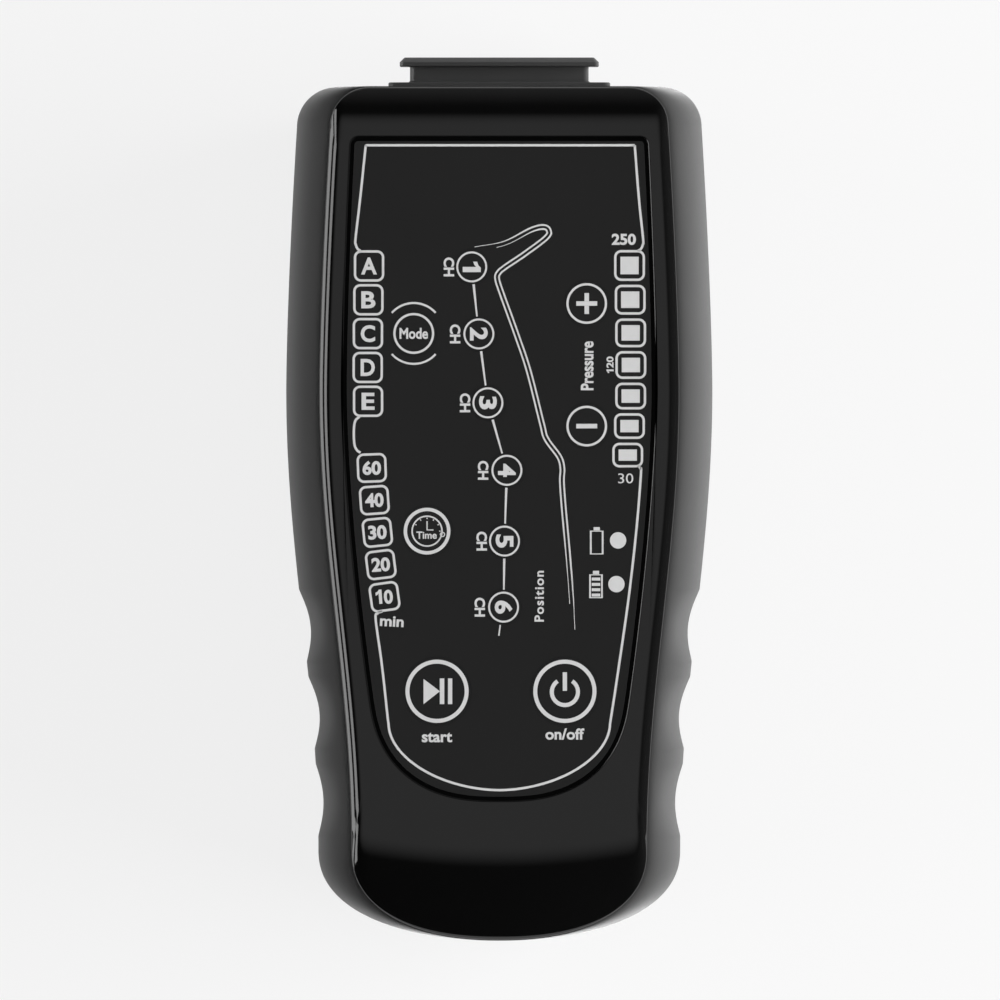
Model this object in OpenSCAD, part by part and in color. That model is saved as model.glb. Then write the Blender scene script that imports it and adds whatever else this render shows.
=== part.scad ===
// Compression therapy pump with six air chambers, lying on its back.
// +Z comes out of the keypad face and +Y points to the air port. The origin is the
// middle of the rest plane, halfway along the overall length.

/* [Casing] */
// Length of the casing, without the air port
body_length = 180; // [174:1:200]
// Greatest width of the casing
body_width = 90; // [88:1:100]
// Height of the flat face over the rest plane
body_height = 48; // [47:0.5:54]
// Wall thickness of both casing halves
wall = 2.2; // [1.8:0.1:2.6]
// Height of the casing's widest line over the rest plane
widest_height = 20; // [18:0.5:23]
// Distance of the widest place from the top end
widest_from_top = 63.9; // [55:0.5:75]
// How much narrower each side is at the top end than at the widest place
top_taper = 2.8; // [1:0.1:4]
// How much narrower each side is just above the chin than at the widest place
waist_taper = 6.8; // [4:0.1:9]
// Radius of the two corners at the top end, seen from the front
corner_radius = 8.4; // [6:0.2:11]
// Length of the rounded chin at the bottom end
chin_length = 19; // [15:0.5:24]
// Squareness of the chin seen from the front: 2 is an ellipse, more is squarer
chin_roundness = 2.25; // [2:0.05:2.5]
// Width of the rounding along the back edge
back_round = 8; // [6:0.5:10]
// Width of the sloping shoulder between the widest line and the seam
shoulder = 7.1; // [5:0.1:8.5]
// Height of the seam between the halves below the flat face
seam_below_face = 6; // [5:0.5:7]
// Gap that shows along the seam
seam_gap = 0.25; // [0.1:0.05:0.4]

/* [Finger grooves] */
// Depth of the two upper grooves on each side
groove_depth = 1.6; // [0.8:0.1:2]
// Depth of the lowest groove
low_groove_depth = 1.25; // [0.6:0.05:1.6]
// Length of one groove along the side
groove_length = 15.4; // [12:0.2:17]
// Distance from one groove to the next
groove_pitch = 18.4; // [18:0.1:20]
// Distance of the lowest groove above the chin
groove_above_chin = 10.6; // [9:0.2:13]

/* [Front cover] */
// Width of the rounding along the sides of the face
side_round = 2.5; // [1.5:0.1:3]
// Length of the rounding at the top end of the face
top_round = 8; // [5:0.5:9]
// Drop of the rounding at the top end of the face
top_drop = 5; // [3:0.5:5]
// Length of the slope at the chin
chin_round = 20; // [14:0.5:22]
// Drop of the slope at the chin
chin_drop = 10; // [6:0.5:11]

/* [Overlay film] */
// Thickness of the film
film_t = 0.35; // [0.2:0.05:0.45]
// Depth of the recess that the film lies in
recess_depth = 0.5; // [0.45:0.05:0.7]
// Gap between the film and the recess wall
film_gap = 0.8; // [0.3:0.05:1]
// Distance of the recess from the top end
recess_from_top = 10.8; // [10:0.1:13]
// Distance of the recess from the bottom end
recess_from_bottom = 29.6; // [26:0.2:32]
// Width of the recess at its widest place
recess_width = 65.8; // [64:0.2:67]
// Corner radius of the recess
recess_corner = 1.7; // [1:0.1:3]

/* [Keys] */
// Radius of the start and power keys
large_key_r = 7.1; // [6.8:0.1:7.3]
// Radius of the mode and pressure keys
small_key_r = 4.7; // [4.4:0.1:5]
// Radius of the time key
time_key_r = 5.35; // [5:0.05:5.6]
// Radius of the six chamber keys
chamber_key_r = 3.65; // [3.5:0.05:3.9]
// Gap round each key
key_gap = 0.15; // [0.1:0.05:0.3]
// Travel of every key
key_travel = 0.3; // [0.2:0.05:0.4]
// Flange that keeps a key under the cover: its width
key_flange = 0.8; // [0.5:0.1:1]
// Thickness of that flange
key_flange_t = 1; // [0.8:0.1:1.4]

/* [Keypad board] */
// Thickness of both circuit boards
board_t = 1.6; // [1:0.2:1.6]
// Side of a push switch housing
switch_side = 6; // [5:0.5:6]
// Height of a push switch housing
switch_h = 3.5; // [3:0.1:3.8]
// Height of a switch plunger's top over the board
plunger_top = 5; // [4.6:0.1:5.6]
// Radius of a switch plunger
plunger_r = 1.75; // [1.4:0.05:1.9]
// Running gap round switch plungers and valve armatures
running_gap = 0.08; // [0.05:0.01:0.1]
// Side of a square lamp
lamp_side = 2.6; // [2.2:0.1:2.8]
// Radius of a round battery lamp
lamp_r = 1.5; // [1.2:0.1:1.7]

/* [Screws and feet] */
// Radius of a case screw's shank
case_screw_r = 1.45; // [1.2:0.05:1.6]
// Length of a case screw under its head
case_screw_length = 12; // [9:1:14]
// Radius of the casing's screw columns
column_r = 4.2; // [3.9:0.1:4.4]
// Radius of a board screw's shank
board_screw_r = 1.2; // [1:0.05:1.3]
// Length of a board screw under its head
board_screw_length = 6; // [5:0.5:6.5]
// Radius of a rubber foot
foot_r = 5; // [4:0.2:6]
// Thickness of a rubber foot
foot_t = 1.6; // [1.4:0.1:2]
// How far a foot stands out of the back
foot_proud = 0.8; // [0.5:0.1:1]

/* [Air port] */
// How far the port stands out of the top end
port_reach = 6.2; // [5.4:0.1:8]
// Width of the port's latch lip
lip_width = 42; // [41:0.2:44]
// Thickness of the latch lip
lip_t = 1.9; // [1.4:0.1:2.4]
// Width of the port's neck
neck_width = 37.7; // [37.5:0.1:39]
// Depth of the port's neck, front to back
neck_depth = 12; // [10:0.5:13]
// Width of the flange that fills the casing's window
port_flange_width = 46.8; // [45:0.2:48]
// How far that flange stands out of the casing
port_flange_proud = 0.95; // [0.5:0.05:1.4]
// Radius of the six air outlets
outlet_r = 2.2; // [1.8:0.05:2.3]
// Distance from one outlet to the next
outlet_pitch = 6.2; // [5.8:0.05:6.4]
// Thickness of the port's gasket
gasket_t = 0.8; // [0.6:0.1:1]

/* [Valves and tubes] */
// Distance from one valve to the next
valve_pitch = 11.4; // [11:0.1:11.8]
// Length of a valve
valve_length = 17; // [15:0.5:18]
// Height of a valve
valve_height = 11; // [10:0.5:12]
// Travel of a valve's armature
valve_travel = 0.8; // [0.5:0.1:1]
// Radius of a valve's armature
armature_r = 1.6; // [1.3:0.05:1.8]
// Outer radius of the air tubes
tube_r = 2.6; // [2.4:0.1:2.8]
// Wall thickness of the air tubes
tube_wall = 1; // [0.8:0.1:1.2]

/* [Pump] */
// Radius of the motor's can
motor_r = 12.1; // [11:0.1:12.4]
// Length of the motor's can
motor_length = 30; // [27:0.5:32]
// Thickness of the rubber sleeve round the can
sleeve_t = 1.5; // [1:0.1:1.8]
// Radius of the motor's shaft
shaft_r = 1; // [0.8:0.05:1.25]
// Running gap of the shaft in its bearings
bearing_gap = 0.05; // [0.03:0.01:0.08]
// Distance of the crank pin from the shaft's axis
crank_throw = 1.6; // [1.2:0.1:2]
// Radius of the pump's housing and head
pump_r = 12.4; // [11.6:0.1:12.6]
// Length of the pump's housing
pump_housing_length = 12; // [11:0.5:13]
// Length of the pump's head
pump_head_length = 10; // [8:0.5:12]

/* [Battery and jack] */
// Radius of a battery cell
cell_r = 9.2; // [9:0.05:9.3]
// Length of a battery cell
cell_length = 65; // [64:0.5:66]
// Wall thickness of the battery tray
tray_wall = 1.4; // [1:0.1:1.6]
// Radius of the charging jack's socket
jack_socket_r = 3.15; // [2.9:0.05:3.3]
// Radius of the charging jack's centre pin
jack_pin_r = 1.05; // [0.85:0.05:1.25]

/* [Hidden] */
body_bottom = -(body_length + port_reach) / 2;
body_top = body_bottom + body_length;
widest_y = body_top - widest_from_top;
chin_y = body_bottom + chin_length;
half_width = body_width / 2;
half_waist = half_width - waist_taper;
back_z = foot_proud;
floor_z = back_z + wall;
seam_z = body_height - seam_below_face;
chin_seam_dip = chin_drop - top_drop;
cover_end_inset = 0.2;
upper_side_steps = 9;
groove_steps = 33;
corner_steps = 6;
chin_steps = 9;

recess_top = body_top - recess_from_top;
recess_bottom = body_bottom + recess_from_bottom;
recess_end_y = recess_bottom + 21.3;
recess_z = body_height - recess_depth;
film_top_z = recess_z + film_t;
ceiling_z = recess_z - wall;

key_rest_gap = 0.1;
key_foot_z = ceiling_z - key_rest_gap - key_flange_t;
key_stem = 0.6;
board_z = key_foot_z - key_stem - plunger_top;
plunger_low = 1.8;
// Name, distance from the centre line, distance below the recess's top edge, radius
KEYS = [
    ["start", -13.1, 116.6, large_key_r], ["power", 13.8, 116.6, large_key_r],
    ["mode", -18, 41.3, small_key_r], ["time", -15.2, 82.9, time_key_r],
    ["pressure_up", 18.4, 35, small_key_r], ["pressure_down", 18.4, 60.8, small_key_r],
    ["chamber_1", -5.8, 27.3, chamber_key_r], ["chamber_2", -4.3, 41.4, chamber_key_r],
    ["chamber_3", -2.4, 55.9, chamber_key_r], ["chamber_4", 1.6, 70.1, chamber_key_r],
    ["chamber_5", 1.1, 85, chamber_key_r], ["chamber_6", 0.9, 98.9, chamber_key_r]
];
key_range = [0:len(KEYS) - 1];

mode_lamp_top = 27.1;
mode_lamp_pitch = 7.12;
timer_lamp_top = 69.6;
timer_lamp_pitch = 6.78;
pressure_lamp_top = 27;
pressure_lamp_pitch = 7.2;
pressure_pitch_step = 0.22;
battery_lamp_top = 84.9;
battery_lamp_pitch = 9.2;
lamp_margin = 4.9;
lamp_margin_growth = 0.0125;
battery_lamp_margin = 6.3;
lamp_gap = 0.2;

// The cover's inner lip, which centres it in the rear shell
lip_gap = 0.3;
lip_thick = 1;
lip_down = 2;

column_top_z = back_z + 21.2;
screw_seat_t = 2;
cover_boss_r = 3.2;
screw_head_r = 2.8;
board_boss_r = 2.6;
board_head_r = 2.2;
board_head_t = 1.4;
boss_merge = 0.6;
// How far below the ceiling the bosses end that stand under the slope of the chin
chin_boss_drop = 0.8;
// Case screws: distance from the centre line, y, and the height where the cover's boss ends
end_screws_x = 30;
end_screws_y = body_top - 9.9;
boss_gap = 0.4;
mid_screws_y = recess_top - 101.1;
mid_screws_x = casing_half(mid_screws_y) - shoulder - wall - lip_gap - lip_thick - boss_gap - cover_boss_r;
chin_screws_x = 22;
chin_screws_y = body_bottom + 15.1;
CASE_SCREWS = [for (s = [-1, 1]) each [
    [s * end_screws_x, end_screws_y, ceiling_z + boss_merge],
    [s * mid_screws_x, mid_screws_y, ceiling_z + boss_merge],
    [s * chin_screws_x, chin_screws_y, ceiling_z - chin_boss_drop]
]];
KEYPAD_SCREWS = [
    [-14, recess_top - 14], [14, recess_top - 14], [-11.5, recess_top - 100],
    [11.5, recess_top - 100], [0, recess_top - 120]
];

jack_side = 9;
jack_height = 11;
jack_length = 13;
jack_nose_r = jack_socket_r + 0.75;
// Gap between the jack's box and the curved end wall
jack_gap = 0.5;
tray_y0 = body_bottom + wall + jack_gap + jack_length + 3.5;
tray_length = cell_length + 2 * (tray_wall + 0.6);
cell_gap = 0.1;
cell_z = floor_z + tray_wall + cell_gap + cell_r;
cell_x = cell_r + 0.4;
tray_width = 2 * (cell_x + cell_r + cell_gap + tray_wall);
main_board_z = cell_z + cell_r + 4.2;
jack_z = main_board_z - jack_height / 2;
post_r = 2.4;
main_screw_x = tray_width / 2 + post_r + 0.2;
main_board_half = main_screw_x + 1.6;
MAIN_SCREWS = [for (s = [-1, 1], y = [tray_y0 + 9.5, tray_y0 + 61.5]) [s * main_screw_x, y]];

motor_y = tray_y0 + tray_length + 18.5;
motor_z = floor_z + 1 + motor_r + sleeve_t;
motor_x = -33;
pump_x = motor_x + motor_length;
diaphragm_t = 1.2;
head_x = pump_x + pump_housing_length + diaphragm_t;
nozzle_x = head_x + pump_head_length / 2;
barb_r = tube_r - tube_wall - 0.05;
barb_length = 3.5;

port_under_board = 15;
port_z = board_z - board_t - port_under_board;
port_body_depth = neck_depth + 5;
port_plate_t = 2.5;
port_plate_half = port_flange_width / 2 + 2.1;
port_plate_depth = port_body_depth + 3;
window_gap = 0.1;
port_front = body_top + port_reach;
// The gasket lies in a shallow pocket of the end wall
pocket_depth = 0.3;
pocket_gap = 0.15;
port_touch = 0.05;
pocket_y = body_top - wall + pocket_depth;
port_gasket_y = pocket_y - port_touch - gasket_t;
port_plate_y = port_gasket_y - port_touch - port_plate_t;
manifold_depth = 10;
manifold_y = port_plate_y - 9.3 - manifold_depth;
manifold_half = 2.5 * valve_pitch + 6;
manifold_h = 12;
OUTLETS = [for (i = [0:5]) (i - 2.5) * outlet_pitch];
VALVES = [for (i = [0:5]) (i - 2.5) * valve_pitch];
nozzle_z = port_z + valve_height / 2 + tube_r + 0.3;
// The nozzle reaches out to where the round head has dropped clear of the tube
nozzle_front = motor_y + sqrt(max(pow(pump_r, 2) - pow(nozzle_z - tube_r - 0.2 - motor_z, 2), 36));
valve_width = 10.4;
valve_plate = 1;
core_length = 5.2;
core_gap = 0.1;
core_end_y = manifold_y - valve_length + valve_plate + core_length;

FEET = [for (s = [-1, 1]) each [[s * 26, body_top - 22.9], [s * 22, body_bottom + 27.1]]];

// ---- Outline of the casing, seen from the front ----

function smooth(t) = let (u = min(max(t, 0), 1)) u * u * (3 - 2 * u);
function mix(a, b, t) = a + (b - a) * t;

// Half width of the casing above the chin, without its grooves
function casing_half(y) = y > widest_y
    ? half_width - top_taper * pow((y - widest_y) / widest_from_top, 1.5)
    : (half_width + half_waist) / 2
        + (half_width - half_waist) / 2 * cos(180 * (widest_y - y) / (widest_y - chin_y));

// Depth of the finger grooves at y: three shallow arcs
groove_0 = chin_y + groove_above_chin;
function one_groove(y, i, depth) =
    let (u = (y - groove_0 - i * groove_pitch) / (groove_length / 2))
    abs(u) < 1 ? depth * pow(1 - u * u, 1.2) : 0;
function grooves(y) = one_groove(y, 0, low_groove_depth)
    + one_groove(y, 1, groove_depth) + one_groove(y, 2, groove_depth);

// Half width of the film's recess at y, and at its round lower end
function recess_taper(y) = recess_width / 2 - (y > widest_y
    ? 1.5 * pow((y - widest_y) / 48.5, 1.5)
    : 5.7 * pow((widest_y - y) / 65.4, 1.6));
function recess_half(y) = recess_taper(y) * (y > recess_end_y ? 1
    : pow(1 - pow(min((recess_end_y - y) / (recess_end_y - recess_bottom), 1), 2.6), 1 / 2.6));

// Right half of an outline: inset by dx at the sides, top and bottom at the ends.
// g is the share of the finger grooves, n the chin's roundness, r the corner radius.
function half_outline(dx, top, bottom, g, n, r) = let (
    y0 = body_top - top, y1 = y0 - r, y3 = body_bottom + bottom,
    y4 = chin_y + bottom * 0.6, groove_y = groove_0 + 2 * groove_pitch + groove_length / 2 + 1,
    corner = casing_half(y1) - dx - r, low = casing_half(chin_y) - dx
) concat(
    [for (i = [0:corner_steps - 1]) let (a = 90 - 90 * i / corner_steps)
        [corner + r * cos(a), y1 + r * sin(a)]],
    [for (i = [0:upper_side_steps - 1]) let (y = mix(y1, groove_y, i / upper_side_steps))
        [casing_half(y) - dx, y]],
    [for (i = [0:groove_steps - 1]) let (y = mix(groove_y, y4, i / groove_steps))
        [casing_half(max(y, chin_y)) - dx - g * grooves(y), y]],
    [for (i = [0:chin_steps]) let (a = 90 * i / chin_steps)
        [low * pow(cos(a), 2 / n), y4 - (y4 - y3) * pow(sin(a), 2 / n)]]
);
function mirrored(half) = concat(half, [for (i = [len(half) - 2:-1:0]) [-half[i][0], half[i][1]]]);
function outline(dx, top, bottom, g = 0, n = chin_roundness, r = corner_radius) =
    mirrored(half_outline(dx, top, bottom, g, n, r));

// The skin through a list of rings, each with as many points as the others. With ends it is
// closed by a flat face at the first and the last ring, without them by joining these two.
module skin(rings, ends = true) {
    n = len(rings[0]);
    last = len(rings) - 1;
    polyhedron(
        points = [for (r = rings) each r],
        faces = concat(
            ends ? [[for (j = [n - 1:-1:0]) j], [for (j = [0:n - 1]) last * n + j]] : [],
            [for (i = [0:ends ? last - 1 : last], j = [0:n - 1])
                let (k = (j + 1) % n, next = (i + 1) % (last + 1))
                each [[i * n + j, i * n + k, next * n + k], [i * n + j, next * n + k, next * n + j]]]
        ),
        convexity = 10
    );
}
function at_z(ring, z) = [for (p = ring) [p[0], p[1], z]];

// Height of the seam: level along the sides, lower at the chin
function seam_at(y) = seam_z - chin_seam_dip * smooth((chin_y + 6 - y) / (chin_length + 2));

// ---- Rear shell ----

belly_power = 2.4;
back_groove_share = 0.25;
shoulder_end = 75;
// A ring of the belly at angle a: 0 on the flat back, 90 on the widest line
function belly_ring(a, w) = let (
    inset = w + back_round * (1 - pow(sin(a), 2 / belly_power)),
    z = widest_height - (widest_height - back_z - w) * pow(cos(a), 2 / belly_power),
    share = mix(back_groove_share, 1, smooth(a / 60))
) at_z(outline(inset, inset, inset, share, r = corner_radius - w / 2), z);
// A ring of the shoulder at angle b: 0 on the widest line, shoulder_end on the seam
function shoulder_ring(b, w) = let (
    share = (1 - cos(b)) / (1 - cos(shoulder_end)), rise = sin(b) / sin(shoulder_end),
    ring = outline(w + shoulder * share, w, w, 1 - smooth(share), r = corner_radius - w / 2)
) [for (p = ring) [p[0], p[1], mix(widest_height, seam_at(p[1]), rise)]];

// A rib across the floor with a round seat for a cylinder that lies along X
module saddle(x, t, r) {
    half = r + 1;
    difference() {
        translate([x, motor_y - half, floor_z - 0.2])
            cube([t, 2 * half, motor_z - floor_z]);
        translate([x - 1, motor_y, motor_z])
            rotate([0, 90, 0]) cylinder(r = r, h = t + 2, $fn = 64);
    }
}

module rear_shell() {
    rib_z = port_z + port_plate_depth / 2;
    color("#5c5c5e") difference() {
        union() {
            skin(concat(
                [for (a = [0:18:90]) belly_ring(a, 0)],
                [for (b = [15:15:shoulder_end]) shoulder_ring(b, 0)],
                [for (b = [shoulder_end:-25:0]) shoulder_ring(b, wall)],
                [for (a = [60, 30, 0]) belly_ring(a, wall)]
            ), ends = false);
            translate([0, 0, back_z]) linear_extrude(wall)
                polygon(outline(back_round, back_round, back_round, back_groove_share));
            for (p = CASE_SCREWS)
                translate([p[0], p[1], floor_z - 1])
                    cylinder(r = column_r, h = column_top_z - floor_z + 1, $fn = 48);
            for (p = MAIN_SCREWS)
                translate([p[0], p[1], floor_z - 0.2])
                    cylinder(r = post_r, h = main_board_z - floor_z + 0.2, $fn = 48);
            for (x = [motor_x + 5, pump_x - 9]) saddle(x, 1.6, motor_r + sleeve_t + 0.05);
            for (x = [pump_x + 3, head_x + 3]) saddle(x, 1.6, pump_r + 0.05);
            // ribs that hold the port's plate against its gasket
            for (s = [-1, 1])
                translate([s * (port_plate_half - 3) - 2, port_plate_y - 2.1, floor_z - 0.2])
                    cube([4, 2.1, rib_z - floor_z]);
            // blocks under the manifold
            for (s = [-1, 1])
                translate([s * (manifold_half - 6) - 3, manifold_y + 1, floor_z - 0.2])
                    cube([6, manifold_depth - 2, port_z - manifold_h / 2 - floor_z + 0.2]);
        }
        for (p = CASE_SCREWS) {
            translate([p[0], p[1], back_z - 1])
                cylinder(r = screw_head_r + 0.3, h = column_top_z - screw_seat_t - back_z + 1, $fn = 48);
            translate([p[0], p[1], back_z])
                cylinder(r = case_screw_r + 0.25, h = body_height, $fn = 48);
        }
        for (p = MAIN_SCREWS)
            translate([p[0], p[1], main_board_z - board_screw_length])
                cylinder(r = board_screw_r + 0.05, h = board_screw_length + 1, $fn = 48);
        for (p = FEET)
            translate([p[0], p[1], back_z - 1])
                cylinder(r = foot_r + 0.1, h = foot_t - foot_proud + 1, $fn = 64);
        // pocket of the air port's gasket
        translate([-port_plate_half - pocket_gap, port_plate_y - pocket_gap,
                   port_z - port_plate_depth / 2 - pocket_gap])
            cube([2 * (port_plate_half + pocket_gap), pocket_y - port_plate_y + pocket_gap,
                  port_plate_depth + 2 * pocket_gap]);
        // window of the air port
        translate([-port_flange_width / 2 - window_gap, body_top - wall - 3,
                   port_z - port_body_depth / 2 - window_gap])
            cube([port_flange_width + 2 * window_gap, wall + 6, port_body_depth + 2 * window_gap]);
        // hole of the charging jack
        translate([0, body_bottom - 1, jack_z])
            rotate([-90, 0, 0]) cylinder(r = jack_nose_r + 0.2, h = wall + 3, $fn = 64);
    }
}

// ---- Front cover ----

// Drop of the face's edge at y: small at the sides, larger at both ends
function edge_drop(y) = side_round
    + (top_drop - side_round) * smooth((y - body_top + corner_radius) / (corner_radius * 0.7))
    + (chin_drop - side_round) * smooth((chin_y + 4 - y) / (chin_length * 0.8));
cover_base = outline(shoulder, cover_end_inset, cover_end_inset);
// A ring of the rounding at angle c: 0 on the upright wall, 90 on the flat face
function cover_ring(c, w, down) = let (
    f = 1 - cos(c), ring = outline(
        shoulder + w + side_round * f, cover_end_inset + w + top_round * f,
        cover_end_inset + w + chin_round * f, 0, chin_roundness + 2 * f, corner_radius - w / 2 - 2 * f)
) [for (i = [0:len(ring) - 1])
    [ring[i][0], ring[i][1], body_height - down - edge_drop(cover_base[i][1]) * (1 - sin(c))]];
// A ring of the upright wall, dz over the seam
function seam_ring(w, dz) =
    let (ring = outline(shoulder + w, cover_end_inset + w, cover_end_inset + w,
                        r = corner_radius - w / 2))
    [for (p = ring) [p[0], p[1], seam_at(p[1]) + dz]];

module front_cover() {
    inner = wall + lip_gap + lip_thick;
    color("#262628") difference() {
        union() {
            skin([
                cover_ring(90, wall, body_height - ceiling_z),
                cover_ring(40, wall, body_height - ceiling_z),
                cover_ring(0, inner, body_height - ceiling_z),
                seam_ring(inner, -lip_down), seam_ring(wall + lip_gap, -lip_down),
                seam_ring(wall + lip_gap, seam_gap), seam_ring(0, seam_gap),
                cover_ring(0, 0, 0), cover_ring(15, 0, 0), cover_ring(30, 0, 0),
                cover_ring(45, 0, 0), cover_ring(60, 0, 0), cover_ring(75, 0, 0),
                cover_ring(90, 0, 0)
            ]);
            for (p = CASE_SCREWS)
                translate([p[0], p[1], column_top_z])
                    cylinder(r = cover_boss_r, h = p[2] - column_top_z, $fn = 48);
            for (p = KEYPAD_SCREWS)
                translate([p[0], p[1], board_z])
                    cylinder(r = board_boss_r, h = ceiling_z + boss_merge - board_z, $fn = 48);
        }
        translate([0, 0, recess_z]) linear_extrude(2) film_outline(0);
        for (k = KEYS)
            translate([k[1], recess_top - k[2], ceiling_z - 1])
                cylinder(r = k[3] + key_gap, h = 4 * wall, $fn = 96);
        for (p = concat(setting_lamp_places(), pressure_lamp_places()))
            translate([p[0], p[1], ceiling_z])
                cube([lamp_side + 2 * lamp_gap, lamp_side + 2 * lamp_gap, 4 * wall], center = true);
        for (p = battery_lamp_places())
            translate([p[0], p[1], ceiling_z - 1])
                cylinder(r = lamp_r + lamp_gap, h = 4 * wall, $fn = 48);
        for (p = CASE_SCREWS)
            translate([p[0], p[1], column_top_z - 1])
                cylinder(r = case_screw_r + 0.05, h = case_screw_length + 1, $fn = 48);
        for (p = KEYPAD_SCREWS)
            translate([p[0], p[1], board_z - 1])
                cylinder(r = board_screw_r + 0.05, h = board_screw_length + 0.2, $fn = 48);
    }
}

// ---- Overlay film, keys and lamps ----

// Outline of the recess, inset by d
module film_outline(d) {
    top = recess_top - d;
    r = recess_corner;
    side = recess_taper(top - r) - d;
    half = concat(
        [for (a = [90:-22.5:0.1]) [side - r + r * cos(a), top - r + r * sin(a)]],
        [for (i = [0:11]) let (y = mix(top - r, recess_end_y, i / 12)) [recess_half(y) - d, y]],
        [for (i = [0:11]) let (a = 90 * i / 12, y = recess_end_y
                - (recess_end_y - recess_bottom) * pow(sin(a), 2 / 2.6))
            [max(recess_half(y) - d * (1 - i / 12), 0), y + d * sin(a)]]
    );
    polygon(concat(half, [[0, recess_bottom + d]], [for (i = [len(half) - 1:-1:0]) [-half[i][0], half[i][1]]]));
}

module overlay_film() {
    color("#1f1f21") translate([0, 0, recess_z]) linear_extrude(film_t) difference() {
        film_outline(film_gap);
        for (k = KEYS)
            translate([k[1], recess_top - k[2]]) circle(r = k[3] + key_gap, $fn = 96);
    }
}

module key(i) {
    k = KEYS[i];
    color("#232325") translate([k[1], recess_top - k[2], 0]) {
        translate([0, 0, key_foot_z]) cylinder(r = k[3], h = film_top_z - key_foot_z, $fn = 96);
        translate([0, 0, key_foot_z]) cylinder(r = k[3] + key_flange, h = key_flange_t, $fn = 96);
        translate([0, 0, key_foot_z - key_stem]) cylinder(r = plunger_r, h = key_stem + 0.1, $fn = 48);
    }
}

module plunger(i) {
    k = KEYS[i];
    color("#e8e4d8") translate([k[1], recess_top - k[2], board_z + plunger_low])
        cylinder(r = plunger_r, h = plunger_top - plunger_low, $fn = 48);
}

module switch_housings() {
    color("#3a3a3c") for (k = KEYS)
        translate([k[1], recess_top - k[2], board_z]) difference() {
            translate([-switch_side / 2, -switch_side / 2, 0])
                cube([switch_side, switch_side, switch_h]);
            translate([0, 0, plunger_low - key_travel - 0.2])
                cylinder(r = plunger_r + running_gap, h = switch_h, $fn = 48);
        }
}

function margin_at(d) = lamp_margin + lamp_margin_growth * d;
function lamp_place(side, d, extra) =
    let (y = recess_top - d) [side * (recess_half(y) - margin_at(d - mode_lamp_top) - extra), y];
function setting_lamp_places() = concat(
    [for (i = [0:4]) lamp_place(-1, mode_lamp_top + i * mode_lamp_pitch, 0)],
    [for (i = [0:4]) lamp_place(-1, timer_lamp_top + i * timer_lamp_pitch, 0)]
);
function pressure_lamp_places() = [for (i = [0:6]) lamp_place(1, pressure_lamp_top
    + i * pressure_lamp_pitch - i * (i - 1) / 2 * pressure_pitch_step, 0)];
function battery_lamp_places() = [for (i = [0:1])
    let (d = battery_lamp_top + i * battery_lamp_pitch, y = recess_top - d)
    [recess_half(y) - battery_lamp_margin + 0.6 * i, y]];

module square_lamps(places, shade) {
    color(shade) for (p = places)
        translate([p[0] - lamp_side / 2, p[1] - lamp_side / 2, board_z])
            cube([lamp_side, lamp_side, recess_z - board_z - 0.1]);
}
module setting_lamps() square_lamps(setting_lamp_places(), "#9aa7b0");
module pressure_lamps() square_lamps(pressure_lamp_places(), "#e9ecee");
module battery_lamps() {
    color("#e9ecee") for (p = battery_lamp_places())
        translate([p[0], p[1], board_z]) cylinder(r = lamp_r, h = recess_z - board_z - 0.1, $fn = 48);
}

// ---- Boards and screws ----

module keypad_board() {
    wide = recess_half(widest_y) - 2.4;
    narrow = mid_screws_x - cover_boss_r - boss_gap;
    top = recess_top - 8;
    step = mid_screws_y + cover_boss_r + boss_gap;
    bottom = recess_top - KEYS[0][2] - large_key_r - 2;
    color("#20603a") difference() {
        translate([0, 0, board_z - board_t]) linear_extrude(board_t) polygon([
            [-wide + 1.5, top], [wide - 1.5, top], [wide, top - 20], [wide, step + 2], [narrow, step],
            [narrow - 3, bottom], [-narrow + 3, bottom], [-narrow, step], [-wide, step + 2],
            [-wide, top - 20]
        ]);
        for (p = KEYPAD_SCREWS)
            translate([p[0], p[1], board_z - board_t - 1])
                cylinder(r = board_screw_r + 0.1, h = board_t + 2, $fn = 48);
    }
}

// A pan-head board screw that points up from z
module board_screw() {
    translate([0, 0, -board_head_t]) difference() {
        cylinder(r = board_head_r, h = board_head_t, $fn = 48);
        for (a = [0, 90]) rotate([0, 0, a]) translate([-1.3, -0.25, -1]) cube([2.6, 0.5, 1.7]);
    }
    cylinder(r = board_screw_r, h = board_screw_length, $fn = 48);
}

module board_screws() {
    color("#b9bcc0") {
        for (p = KEYPAD_SCREWS) translate([p[0], p[1], board_z - board_t]) board_screw();
        for (p = MAIN_SCREWS)
            translate([p[0], p[1], main_board_z + board_t]) rotate([180, 0, 0]) board_screw();
    }
}

module case_screws() {
    head_t = 2;
    seat_z = column_top_z - screw_seat_t;
    color("#8d9094") for (p = CASE_SCREWS)
        translate([p[0], p[1], seat_z]) {
            translate([0, 0, -head_t]) difference() {
                cylinder(r = screw_head_r, h = head_t, $fn = 48);
                for (a = [0, 90]) rotate([0, 0, a])
                    translate([-1.7, -0.35, -1]) cube([3.4, 0.7, 2.1]);
            }
            cylinder(r = case_screw_r, h = case_screw_length, $fn = 48);
        }
}

module rubber_feet() {
    color("#161616") for (p = FEET)
        translate([p[0], p[1], 0]) rotate_extrude($fn = 64)
            polygon([[0, 0], [foot_r - 0.4, 0], [foot_r, 0.4], [foot_r, foot_t], [0, foot_t]]);
}

// A component on a board: a block of this size standing at x, y
module chip(x, y, size) {
    translate([x, y, main_board_z + board_t]) translate([-size[0] / 2, -size[1] / 2, 0]) cube(size);
}

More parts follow.
